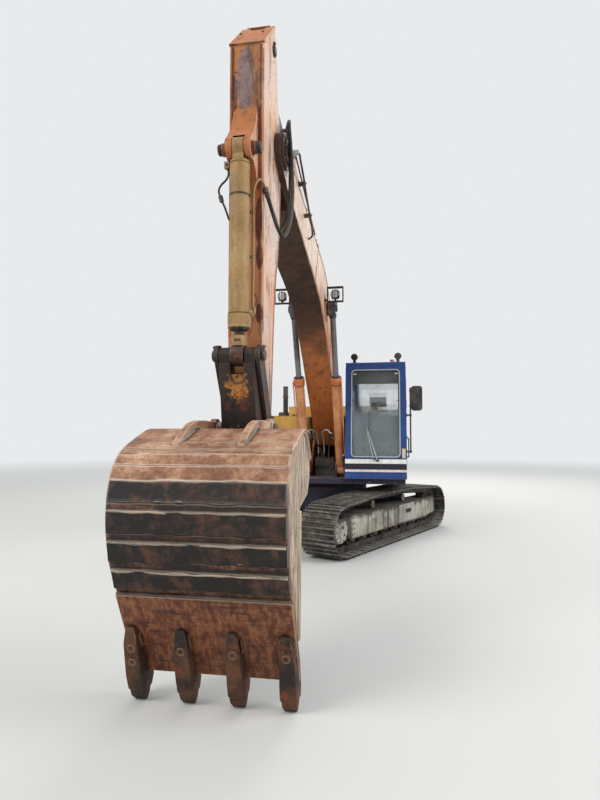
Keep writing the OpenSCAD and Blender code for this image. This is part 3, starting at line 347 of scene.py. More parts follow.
def stick_paint(name, colour, faded):
    """The stick: lilac and peach sides, worn upper front, red rust beside its cylinder, dark foot."""
    s = arm_base(name, colour, faded)
    lilac = s.side * (s.broad * 0.5 + s.noise(2.2, 5, 0.6, offset=2.0) * 0.5).smooth(0.44, 0.58)
    # Painted sky reflection: the sides paler and peach
    s.lay(s.side * 0.6, shade(218, 172, 138))
    s.lay(lilac * 0.7, shade(204, 186, 178))
    s.lay(s.front * s.z.smooth(3.9, 4.6) * 0.7, shade(156, 98, 42))
    s.lay(s.front * s.z.smooth(3.9, 3.5) * 0.75, shade(208, 144, 100))
    for u, z, v, reach in STICK_RUST:
        red = s.near(at(u, z, v), (0.045, 0.09, reach), 0.7) + s.middle * 0.8 - 0.4
        rust = s.mix(s.fine.smooth(0.4, 0.6), shade(112, 34, 20), shade(70, 26, 18))
        s.lay(red.smooth(0.25, 0.6) * 0.9, rust)
    worn = s.near(at(5.8, 4.85, -0.01), (0.115, 0.4, 0.42), 0.7)
    rag = s.noise(7, 6, 0.7, offset=4.0)
    bleached = s.mix(rag.smooth(0.45, 0.62), shade(122, 102, 104), shade(92, 74, 72))
    s.lay((worn + rag * 1.5 - 0.8).smooth(0.3, 0.5) * 0.9 * s.front, bleached)
    s.lay((s.z + s.middle * 0.4).smooth(2.75, 2.0) * 0.6, shade(78, 56, 38))
    bosses = s.near(at(*BUCKET_RAM_FOOT), (0.3, 0.1, 0.1), 0.4) * (abs(s.x) - 0.1).smooth(0.0, 0.01)
    grease = s.mix(s.fine.smooth(0.4, 0.6), shade(40, 28, 24), shade(96, 54, 36))
    s.lay(bosses * (0.55 + s.middle * 0.8), grease)
    return arm_finish(s)


def plain_steel(name, colour, bright, rough=0.45, metallic=0.7, worn=0.5, grime=SOOT_AND_SHADE, rust=0.3, patch=None):
    """Bare or greasy steel with bright edges, rust, grime and maybe a patch of old paint."""
    s = Shader(name)
    broad = s.noise(2.2, 5, 0.62)
    fine = s.noise(36, 6, 0.68)
    s.tone = s.mix(broad.smooth(0.4, 0.6), colour, grime)
    s.lay(s.noise(9, 5, 0.7, offset=4.0).smooth(0.5, 0.66) * rust, rust_of(s))
    if patch:
        flake = s.near(patch, (0.2, 0.26, 0.26), 1.0) * 0.9 + s.noise(20, 6, 0.78, offset=1.0) * 2.2
        old_paint = s.mix(fine.smooth(0.4, 0.6), shade(186, 122, 52), shade(128, 82, 42))
        s.lay(flake.smooth(1.62, 1.78), old_paint)
    # Painted shade in corners and gaps
    s.lay(s.corner_shade(0.06) * 0.8, SOOT_AND_SHADE)
    rub = (s.edges(0.008) + fine * 0.7).smooth(1.05 - 0.3 * worn, 1.4 - 0.3 * worn)
    s.lay(rub, bright)
    bumps = s.bump(fine * 0.4 + broad * 0.4, 0.3, 0.004)
    return s.finish(rough + fine * 0.3 - rub * 0.15, bumps, Metallic=(0.15 + rub * 0.85) * metallic)


def smooth_paint(name, colour, rough=0.5, dust=0.35, fade=0.25):
    """Rubber, plastic or plain black parts with dust in their texture."""
    s = Shader(name)
    broad = s.noise(3.0, 5, 0.6)
    fine = s.noise(60, 4, 0.7)
    s.tone = s.mix(broad.smooth(0.4, 0.65) * fade, colour, DUST)
    s.lay(s.nz.smooth(0.4, 0.95) * broad.smooth(0.35, 0.6) * dust, DUST)
    s.lay(fine.smooth(0.45, 0.8) * 0.3, SOOT_AND_SHADE)
    return s.finish(rough + fine * 0.2, s.bump(fine, 0.2, 0.002))


def bucket_rust(name, kind="plate"):
    """The bucket's steel: plate, strip, side or lip, each with its own soil and rubbed edges."""
    s = Shader(name)
    broad = s.noise(1.6, 5, 0.62)
    middle = s.noise(7, 6, 0.7)
    fine = s.noise(52, 6, 0.72)
    drawn = s.noise(1.0, 6, 0.68, stretch=(26, 26, 3.0))
    level = s.noise(1.0, 6, 0.7, stretch=(3.0, 12, 34), offset=6.0)
    if kind == "strip":
        s.tone = s.mix((broad * 0.3 + middle * 0.7).smooth(0.46, 0.62), shade(24, 20, 19),
                       shade(92, 58, 42))
        s.lay(drawn.smooth(0.5, 0.7) * 0.5, shade(15, 13, 13))
        rubbed = s.nz.smooth(0.1, 0.5)
        pale = shade(214, 204, 190)
    elif kind == "side":
        s.tone = s.mix(drawn.smooth(0.4, 0.6), shade(204, 184, 158), shade(128, 104, 92))
        s.lay(level.smooth(0.5, 0.7) * 0.5, shade(96, 74, 62))
        rubbed = 1.0
        pale = shade(236, 216, 176)
    elif kind == "lip":
        s.tone = s.mix(drawn.smooth(0.4, 0.62), shade(96, 48, 28), shade(146, 92, 58))
        s.lay(level.smooth(0.52, 0.66) * 0.8, shade(34, 26, 24))
        rubbed = 1.0
        pale = shade(210, 186, 156)
    else:
        brown = s.mix(drawn.smooth(0.38, 0.62), shade(86, 54, 38), shade(150, 104, 76))
        blots = s.noise(3.4, 6, 0.74, offset=12.0)
        sand = s.mix(blots.smooth(0.4, 0.6), shade(190, 146, 114), shade(132, 86, 60))
        sand = s.mix(level.smooth(0.5, 0.7) * 0.5, sand, shade(124, 78, 54))
        sand = s.mix(blots.smooth(0.44, 0.3) * 0.6, sand, shade(216, 190, 164))
        top = (s.z + middle * 0.16).smooth(1.5, 1.68)
        s.tone = s.mix(top, brown, sand)
        soil = (s.z + (middle - 0.5) * 0.12).band(0.84, 1.5, 0.05) * (s.ny * -1).smooth(0.1, 0.5)
        s.lay(soil * (level * 0.6 + broad * 0.6).smooth(0.46, 0.62) * 0.92, shade(30, 24, 23))
        rubbed = 0.5 + top * 0.5
        pale = shade(222, 204, 184)
    s.lay(fine.smooth(0.42, 0.78) * 0.5, SOOT_AND_SHADE)
    # Painted shade in corners and gaps
    s.lay(s.corner_shade(0.07) * 0.85, SOOT_AND_SHADE)
    rub = (s.edges(0.02) + middle * 0.6 + fine * 0.4).smooth(0.82, 1.15) * rubbed
    s.lay(rub * 0.9, pale)
    bumps = s.bump(fine * 0.35 + middle * 0.5 + drawn * 0.3, 0.6, 0.008)
    return s.finish(0.5 + fine * 0.35 - rub * 0.15, bumps, Metallic=0.1 + rub * 0.3)


def shoe_steel(name):
    """Track steel: dust on top, black hollows, rubbed grousers."""
    s = Shader(name)
    broad = s.noise(2.4, 5, 0.62)
    fine = s.noise(40, 6, 0.72)
    s.tone = s.mix(broad.smooth(0.4, 0.6), shade(66, 60, 54), shade(34, 31, 28))
    mud = s.noise(8, 6, 0.72, offset=2.0).smooth(0.48, 0.62)
    s.lay(mud * (0.3 + s.nz.smooth(0.3, 0.8) * 0.5), shade(150, 144, 134))
    s.lay(s.nz.smooth(0.5, 0.9) * (0.25 + broad.smooth(0.35, 0.6) * 0.5), shade(160, 154, 144))
    # Painted shade, nearly black, in hollows and gaps
    s.lay(s.corner_shade(0.05) * 0.9, SOOT_AND_SHADE)
    rub = (s.edges(0.01) + fine * 0.7).smooth(0.75, 1.15)
    s.lay(rub * 0.85, shade(190, 182, 170))
    s.lay(fine.smooth(0.45, 0.8) * 0.45, SOOT_AND_SHADE)
    bumps = s.bump(fine * 0.5 + mud * 0.6, 0.5, 0.008)
    return s.finish(0.62 + fine * 0.3 - rub * 0.2, bumps, Metallic=0.15 + rub * 0.4)


def clear_glass(name, tint=(0.8, 0.85, 0.85, 1.0), dirt=0.25):
    """Cab glass with a film of dust, thickest along the lower edge."""
    s = Shader(name)
    film = s.noise(4, 5, 0.6).smooth(0.35, 0.8) * dirt + s.z.smooth(2.3, 2.0) * 0.5 + 0.06
    dusty = s.node("BsdfPrincipled", None, {"Base Color": shade(150, 160, 162), "Roughness": 0.7})
    pane = s.node("BsdfPrincipled", None, {
        "Base Color": tint, "Roughness": 0.03, "IOR": 1.45, "Transmission Weight": 1.0, "Alpha": 0.35})
    mixed = s.node("MixShader", None, {0: film * 0.5, 1: pane, 2: dusty})
    s.node("OutputMaterial", None, {"Surface": mixed})
    return s.material


def lamp_glass(name, colour, rough=0.12):
    """A ribbed lens with a little dust."""
    s = Shader(name)
    ribs = s.noise(1.0, 2, 0.5, stretch=(160, 4, 4))
    s.tone = s.mix(s.noise(6, 5, 0.6).smooth(0.4, 0.7) * 0.4, colour, DUST)
    return s.finish(rough, s.bump(ribs, 0.3, 0.002), Metallic=0.0, **{"Coat Weight": 0.6})


def seat_cloth(name, colour, lighter):
    """Woven cloth, worn lighter in patches."""
    s = Shader(name)
    weave = s.node("TexWave", {"wave_type": "BANDS", "bands_direction": "X"},
                   {"Vector": s.place, "Scale": 90.0, "Distortion": 2.0}, 1)
    s.tone = s.mix(weave * 0.4 + s.noise(5, 5, 0.6).smooth(0.4, 0.7) * 0.5, colour, lighter)
    return s.finish(0.85, s.bump(weave + s.noise(120, 3, 0.6), 0.25, 0.002))


FINISHES = {}


def make_finishes(colours):
    """One material for each finish of the machine, by a plain name."""
    boom = colours.boom
    navy = colours.frame
    made = {
        "boom": boom_paint("boom_paint", boom, shade(208, 162, 124)),
        "stick": stick_paint("stick_paint", boom, shade(206, 156, 118)),
        "ochre": painted("cylinder_ochre", colours.ram, shade(176, 142, 92), rust=0.35, runs=0.4,
                         rough=0.42, edge=0.006),
        "peach": painted("cylinder_peach", shade(206, 130, 78), shade(218, 156, 108), rust=0.25,
                         runs=0.3, rough=0.4),
        "house": painted("house_yellow", colours.house, shade(226, 186, 104), rust=0.3, runs=0.25,
                         rough=0.42, edge=0.008),
        "deck": painted("deck_navy", navy, shade(40, 46, 68), rust=0.5, runs=0.4, rough=0.5, dust=0.4,
                        inlay=(at(0.35, 1.76, 0.0), (0.9, 1.6, 0.67))),
        "navy": painted("frame_navy", navy, shade(44, 50, 70), rust=0.5, runs=0.4, rough=0.5, dust=0.55),
        "cab": painted("cab_blue", colours.cab, shade(0, 84, 164), rust=0.1, runs=0.2, dust=0.25,
                       rough=0.28, chip=-0.6, banded=True),
        "frame": painted("track_frame_grey", shade(196, 192, 180), shade(158, 152, 138), rust=0.7,
                         runs=0.75, rough=0.6, chip=-0.3, stained=(at(0.35, 0.45, 1.1), (0.9, 0.75, 0.5)),
                         topsoil=0.575),
        "collar": painted("collar_orange", shade(196, 96, 42), shade(208, 124, 72), rust=0.3,
                          runs=0.3, rough=0.4),
        "tine": plain_steel("worn_teeth_steel", shade(96, 62, 40), shade(180, 140, 104), rough=0.6,
                            metallic=0.4, grime=shade(34, 26, 22), rust=0.8, worn=0.6),
        "shaft": plain_steel("shaft_steel", shade(84, 62, 52), shade(150, 126, 110), rough=0.45, rust=0.6,
                             grime=shade(40, 28, 24)),
        "link_plate": plain_steel("link_plate_steel", shade(48, 36, 30), shade(120, 96, 74), rough=0.55,
                                  rust=0.5, patch=at(5.98, 2.2, 0.0)),
        "bucket_side": bucket_rust("bucket_side_plate", "side"),
        "panel": painted("access_panel_grey", shade(188, 186, 176), shade(160, 156, 144), rust=0.5,
                         runs=0.35, rough=0.6, chip=0.6),
        "bucket": bucket_rust("bucket_plate"),
        "strip": bucket_rust("wear_strip", "strip"),
        "ridge": plain_steel("worn_ridge", shade(150, 132, 112), shade(226, 216, 200), rough=0.5,
                             metallic=0.3, worn=0.8, grime=shade(66, 48, 40), rust=0.6),
        "lip": bucket_rust("lip_plate", "lip"),
        "bright": plain_steel("worn_edge", shade(150, 132, 112), shade(214, 200, 184), rough=0.5, worn=0.9,
                              grime=shade(92, 74, 60), rust=0.4),
        "rusty": plain_steel("rusted_seam", shade(104, 58, 36), shade(150, 96, 62), rough=0.65, rust=0.9,
                             grime=shade(74, 44, 32)),
        "weld": plain_steel("weld_bead", shade(96, 80, 68), shade(150, 138, 126), rough=0.6, rust=0.5),
        "tooth": plain_steel("tooth_steel", shade(44, 37, 32), shade(112, 100, 90), rough=0.5, rust=0.35),
        "bolt": plain_steel("bolt_steel", shade(70, 66, 62), shade(140, 134, 128), rough=0.5, rust=0.4),
        "link": plain_steel("linkage_steel", shade(60, 50, 44), shade(120, 104, 88), rough=0.5, rust=0.6),
        "pin": plain_steel("pin_steel", shade(72, 66, 60), shade(150, 142, 132), rough=0.42, rust=0.4),
        "rod": plain_steel("rod_chrome", shade(112, 112, 114), shade(190, 190, 190), rough=0.22,
                           metallic=1.0, rust=0.1, grime=shade(70, 68, 68)),
        "wheel": plain_steel("running_gear_steel", shade(72, 68, 62), shade(132, 126, 118),
                             rough=0.6, rust=0.15),
        "shoe": shoe_steel("track_shoes"),
        "black": smooth_paint("black_paint", shade(26, 26, 28), 0.42),
        "rubber": smooth_paint("hose_rubber", shade(22, 22, 22), 0.6, dust=0.5),
        "seal": smooth_paint("window_seal", shade(176, 184, 186), 0.5, dust=0.2),
        "plastic": smooth_paint("cab_plastic", shade(96, 98, 100), 0.6, dust=0.2, fade=0.4),
        "blind": smooth_paint("roller_blind", shade(64, 70, 72), 0.8, dust=0.1, fade=0.2),
        "white": painted("band_white", shade(226, 226, 222), shade(206, 204, 196), rust=0.1,
                         runs=0.2, chip=0.1),
        "cream": painted("cream_paint", shade(214, 200, 160), shade(200, 182, 146), rust=0.3, runs=0.3),
        "glass": clear_glass("cab_glass"),
        "lamp": lamp_glass("lamp_glass", shade(190, 196, 200)),
        "red": lamp_glass("red_lens", shade(196, 52, 46)),
        "mirror": plain_steel("mirror_glass", shade(150, 156, 162), shade(190, 194, 198), rough=0.06,
                              metallic=1.0, rust=0.0, grime=shade(120, 124, 128)),
        "seat": seat_cloth("seat_cloth", shade(112, 118, 120), shade(152, 158, 160)),
        "headrest": seat_cloth("headrest_cloth", shade(58, 60, 66), shade(84, 88, 94)),
    }
    FINISHES.update(made)


# The finish of each CAD node that stays in view
NODE_FINISH = {
    "carbody": "navy", "swing_ring": "wheel", "track_frame_left": "frame", "track_frame_right": "frame",
    "track_left": "shoe", "track_right": "shoe", "sprockets": "wheel", "idlers": "wheel",
    "track_rollers": "wheel", "revolving_frame": "deck", "counterweight": "navy", "engine": "wheel",
    "radiator": "black", "valve_block": "rubber", "fuel_tank": "house", "hydraulic_tank": "house",
    "tool_box": "house", "house_frame": "house", "exhaust": "black", "engine_hood": "house",
    "pump_door": "house", "radiator_door": "house", "cab_floor": "cab", "cab_front": "cab",
    "cab_side": "cab", "cab_inner_wall": "cab", "cab_rear": "cab", "cab_roof": "cab", "cab_glass": "glass",
    "cab_door": "cab", "door_glass": "glass", "seat": "seat", "controls": "plastic", "handrails": "black",
    "mirror": "black", "cab_lamps": "black", "boom": "boom", "boom_pipes": "pin", "boom_lamps": "tooth",
    "stick": "stick", "bucket": "bucket", "bucket_teeth": "tine", "rocker_links": "link",
    "bucket_link": "link_plate", "boom_barrel_left": "peach", "boom_barrel_right": "peach",
    "boom_rod_left": "rod", "boom_rod_right": "rod", "stick_barrel": "boom", "stick_rod": "rod",
    "bucket_barrel": "ochre", "bucket_rod": "pin",
}


def dress_nodes():
    """Every CAD node that stays in view gets its finish."""
    for name, node in frame["nodes"].items():
        finish = FINISHES[NODE_FINISH[name]]
        if not node.data.materials:
            node.data.materials.append(finish)
        for index in range(len(node.data.materials)):
            node.data.materials[index] = finish


# Mesh tools

SHARP = math.radians(25)
CREASE = math.radians(38)
ACROSS = Vector((1.0, 0.0, 0.0))
FORWARD = Vector((0.0, -1.0, 0.0))
UP = Vector((0.0, 0.0, 1.0))


def curve(points, steps=6):
    """Points of a smooth line through the given ones."""
    points = [Vector(p) for p in points]
    last = len(points) - 1
    line = []
    for i in range(last):
        before, start = points[max(i - 1, 0)], points[i]
        end, after = points[i + 1], points[min(i + 2, last)]
        for j in range(steps):
            t = j / steps
            bend = 2 * before - 5 * start + 4 * end - after
            twist = 3 * start - before - 3 * end + after
            line.append(0.5 * (2 * start + t * (end - before) + t * t * bend + t**3 * twist))
    return line + [points[-1]]


def arc(centre, radius, start, end, steps=8):
    """Points (u, z) on an arc, its angles in degrees from forward and turning up."""
    turns = [math.radians(start + (end - start) * i / steps) for i in range(steps + 1)]
    return [(centre[0] + radius * math.cos(t), centre[1] + radius * math.sin(t)) for t in turns]


def corners(u0, u1, z0, z1):
    """The corners (u, z) of an upright rectangle."""
    return [(u0, z0), (u1, z0), (u1, z1), (u0, z1)]


def rounded(width, height, radius, steps=5):
    """Points of a rectangle with round corners about the origin."""
    x, y = width / 2 - radius, height / 2 - radius
    corners = [((x, y), 0), ((-x, y), 90), ((-x, -y), 180), ((x, -y), 270)]
    return [p for centre, start in corners for p in arc(centre, radius, start, start + 90, steps)]


def between(a, b, share):
    """The point at a share of the way from a to b."""
    return tuple(p + (q - p) * share for p, q in zip(a, b))


def spokes(axis, side, sides):
    """Unit vectors at even turns round an axis, the first one along the side."""
    other = axis.cross(side)
    turns = [2 * math.pi * i / sides for i in range(sides)]
    return [side * math.cos(t) + other * math.sin(t) for t in turns]


def joined_rings(part, rings):
    """Close the first and the last ring of points, and join each to the next."""
    part.faces.new(rings[0])
    part.faces.new(reversed(rings[-1]))
    for near, far in zip(rings, rings[1:]):
        for i in range(len(near)):
            part.faces.new((near[i], near[i - 1], far[i - 1], far[i]))


class Piece:
    """One visible piece, put together from bevelled parts that each have a finish."""

    def __init__(self, name):
        self.name = name
        self.mesh = bmesh.new()
        self.finishes = []

    def add(self, part, finish, bevel=0.0, rounds=2):
        """Bevel a part's sharp edges and join it to the piece."""
        bmesh.ops.recalc_face_normals(part, faces=part.faces)
        if bevel:
            sharp = [e for e in part.edges if e.is_manifold and e.calc_face_angle() > SHARP]
            bmesh.ops.bevel(part, geom=sharp, offset=bevel, segments=rounds, profile=0.6, affect="EDGES",
                            clamp_overlap=True)
        if finish not in self.finishes:
            self.finishes.append(finish)
        for face in part.faces:
            face.material_index = self.finishes.index(finish)
            face.smooth = True
        joined = bpy.data.meshes.new("part")
        part.to_mesh(joined)
        part.free()
        self.mesh.from_mesh(joined)
        bpy.data.meshes.remove(joined)

    def slab(self, outline, push, finish, bevel=0.004, rounds=2, shape=None):
        """A flat outline of points pushed out into a solid; shape moves each point of it."""
        part = bmesh.new()
        near = [part.verts.new(p) for p in outline]
        far = [part.verts.new(Vector(p) + Vector(push)) for p in outline]
        joined_rings(part, (near, far))
        if shape:
            for vert in part.verts:
                vert.co = shape(vert.co)
        self.add(part, finish, bevel, rounds)

    def prism(self, outline, v0, v1, finish, bevel=0.004, rounds=2, shape=None):
        """An outline of (u, z) between two places across the machine."""
        self.slab([at(u, z, v0) for u, z in outline], ACROSS * (v1 - v0), finish, bevel, rounds, shape)

    def ringed(self, outer, inner, push, finish, bevel=0.003):
        """A flat frame between two outlines of as many points, pushed out into a solid."""
        part = bmesh.new()
        push = Vector(push)
        near_out, near_in, far_out, far_in = (
            [part.verts.new(Vector(p) + move) for p in line]
            for move in (Vector(), push) for line in (outer, inner))
        for one, two in ((near_out, near_in), (far_in, far_out), (far_out, near_out), (near_in, far_in)):
            for i in range(len(one)):
                part.faces.new((one[i - 1], one[i], two[i], two[i - 1]))
        self.add(part, finish, bevel)

    def box(self, u, v, z, finish, bevel=0.004, rounds=2):
        """A block given by its (low, high) forward, across and up."""
        self.prism(corners(*u, *z), *v, finish, bevel, rounds)

    def turned(self, profile, start, axis, finish, sides=28, bevel=0.0):
        """A profile of (along, radius) turned about an axis, closed at both ends."""
        part = bmesh.new()
        axis = Vector(axis).normalized()
        out = spokes(axis, axis.orthogonal().normalized(), sides)
        joined_rings(part, [[part.verts.new(Vector(start) + axis * along + way * radius) for way in out]
                            for along, radius in profile])
        self.add(part, finish, bevel)

    def bar(self, radius, length, start, axis, finish, sides=28, bevel=0.0):
        """A round bar or plate from its start along an axis."""
        self.turned([(0, radius), (length, radius)], start, axis, finish, sides, bevel)

    def cap(self, radius, straight, edge, start, axis, finish, sides=28):
        """A round boss or pin head: a straight side and then a soft edge."""
        self.turned([(0, radius), (straight, radius), (straight + edge, radius - edge)], start, axis,
                    finish, sides)

    def tube(self, path, radius, finish, sides=10):
        """A round bar along a path; radius may be a function of the share of the way."""
        part = bmesh.new()
        path = [Vector(p) for p in path]
        ways = [(b - a).normalized() for a, b in zip(path, path[1:])]
        ways = [ways[0], *((a + b).normalized() for a, b in zip(ways, ways[1:])), ways[-1]]
        side = ways[0].orthogonal().normalized()
        rings = []
        for i, (point, way) in enumerate(zip(path, ways)):
            side = (side - way * side.dot(way)).normalized()
            reach = radius(i / (len(path) - 1)) if callable(radius) else radius
            rings.append([part.verts.new(point + out * reach) for out in spokes(way, side, sides)])
        joined_rings(part, rings)
        self.add(part, finish)

    def weld(self, path, size=0.007, finish="weld"):
        """A bead of weld with its ripples."""
        path = [Vector(p) for p in path]
        ripple = random.Random(len(path))
        self.tube(path, lambda share: size * (0.85 + 0.3 * ripple.random()), finish, 6)

    def seam(self, start, end, size=0.007, finish="weld", pitch=0.03):
        """A straight bead of weld."""
        start, end = Vector(start), Vector(end)
        n = max(2, int((end - start).length / pitch))
        self.weld([start.lerp(end, i / n) for i in range(n + 1)], size, finish)

    def bolt(self, centre, axis, size, finish="bolt"):
        """A washer and a six-sided head, its foot at the centre."""
        axis = Vector(axis).normalized()
        self.turned([(0, size * 1.35), (size * 0.25, size * 1.35)], centre, axis, finish, 12)
        self.turned([(size * 0.25, size), (size * 0.95, size), (size * 1.1, size * 0.8)], centre,
                    axis, finish, 6)

    def hose(self, points, radius, finish="rubber"):
        """A hose through the points, with a swaged sleeve and a nut at each end."""
        path = curve(points)
        self.tube(path, radius, finish)
        for end, way in ((path[0], path[1] - path[0]), (path[-1], path[-2] - path[-1])):
            way = way.normalized()
            self.turned([(0, radius * 1.3), (0.05, radius * 1.3), (0.056, radius)], end, way, "pin", 12)
            self.turned([(-0.03, radius * 1.55), (0.002, radius * 1.55)], end, way, "pin", 6)

    def ring(self, centre, axis, path_radius, radius, finish, sides=32):
        """A round bar bent into a ring."""
        axis = Vector(axis).normalized()
        out = spokes(axis, axis.orthogonal().normalized(), sides)
        self.weld([Vector(centre) + way * path_radius for way in out + out[:1]], radius, finish)

    def done(self, body, slot, *nodes):
        """The finished object, riding on its body; it stands for the nodes named."""
        if body == "undercarriage":
            self.mesh.transform(UNDER_TURN)
        data = bpy.data.meshes.new(self.name)
        self.mesh.to_mesh(data)
        self.mesh.free()
        for finish in self.finishes:
            data.materials.append(FINISHES[finish])
        data.set_sharp_from_angle(angle=CREASE)
        piece = bpy.data.objects.new(self.name, data)
        bpy.context.scene.collection.objects.link(piece)
        if isinstance(body, str):
            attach(piece, body)
        else:
            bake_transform(piece)
        if nodes:
            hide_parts(*nodes)
        return piece


# Bucket and its teeth

BUCKET_HALF = 0.59
SHELL_T = 0.028
SHELL_COLUMNS = 44
STRIP_STEPS = 24
TEETH = 4
TOOTH_HALF = 0.062
BUCKET_BACK = curve([(6.0, 1.65), (6.24, 1.862), (6.595, 1.785), (6.79, 1.694), (6.874, 1.602),
                     (6.922, 1.488), (6.941, 1.32), (6.924, 1.154), (6.885, 1.006), (6.816, 0.858),
                     (6.686, 0.648), (6.596, 0.425)], 5)
BUCKET_MOUTH = [(6.5, 0.4), (6.48, 0.57), (6.46, 0.98), (6.43, 1.32), (6.1, 1.38), (6.0, 1.5)]
# Upper and lower edge of each wear strip
BUCKET_STRIPS = [
    ((6.65, 1.771), (6.742, 1.733)), ((6.8, 1.702), (6.864, 1.633)), ((6.918, 1.536), (6.95, 1.404)),
    ((6.96, 1.347), (6.952, 1.212)), ((6.94, 1.15), (6.913, 1.03)), ((6.884, 0.958), (6.832, 0.842)),
]
BUCKET_LIP = [(6.796, 0.782), (6.61, 0.422), (6.521, 0.196), (6.478, 0.204), (6.502, 0.33),
              (6.56, 0.44), (6.74, 0.76)]
EAR_V = (0.203, 0.253)
EAR_BOSS_V = 0.149
EAR_WELD = [(6.18, 1.825), (6.35, 1.872), (6.5, 1.84), (6.6, 1.8), (6.69, 1.76)]


def offset_line(line, distance):
    """The line moved to its right."""
    moved = []
    for i, point in enumerate(line):
        way = (line[min(i + 1, len(line) - 1)] - line[max(i - 1, 0)]).normalized()
        moved.append(point + Vector((way[1], -way[0])) * distance)
    return moved


def dents(point, size):
    """A smooth height that stands for knocks in plate, at most about the size."""
    return size * (0.7 * noise.noise(point * 2.3) + 0.3 * noise.noise(point * 9.0))


def uneven(size, change, pitch, seed):
    """The radius of a ragged bead: its size, and a change that follows a noise along it."""
    return lambda share: size + change * noise.noise(Vector((share * pitch, *seed)))


def bucket_shell(piece):
    """The bent back plate, from the top down to the lip, with its knocks."""
    inner = offset_line(BUCKET_BACK, SHELL_T)
    columns = [-BUCKET_HALF + 2 * BUCKET_HALF * i / SHELL_COLUMNS for i in range(SHELL_COLUMNS + 1)]
    part = bmesh.new()
    layers = []
    for line in (BUCKET_BACK, inner):
        rows = []
        for i, (u, z) in enumerate(line):
            way = (BUCKET_BACK[min(i + 1, len(line) - 1)] - BUCKET_BACK[max(i - 1, 0)]).normalized()
            out = Vector((0, way[1], way[0]))
            row = []
            for v in columns:
                place = at(u, z, v)
                edge = abs(v) / BUCKET_HALF
                bitten = 0.004 * max(0.0, edge - 0.9) * 10 * abs(noise.noise(place * 7))
                row.append(part.verts.new(place + out * (dents(place, 0.007) - bitten)))
            rows.append(row)
        layers.append(rows)
    outer, inside = layers
    for rows in layers:
        for a, b in zip(rows, rows[1:]):
            for j in range(len(a) - 1):
                part.faces.new((a[j], a[j + 1], b[j + 1], b[j]))
    for a, b in zip(range(len(outer) - 1), range(1, len(outer))):
        for j in (0, -1):
            part.faces.new((outer[a][j], outer[b][j], inside[b][j], inside[a][j]))
    for i in (0, -1):
        for j in range(len(columns) - 1):
            part.faces.new((outer[i][j], outer[i][j + 1], inside[i][j + 1], inside[i][j]))
    piece.add(part, "bucket", 0.005, 2)


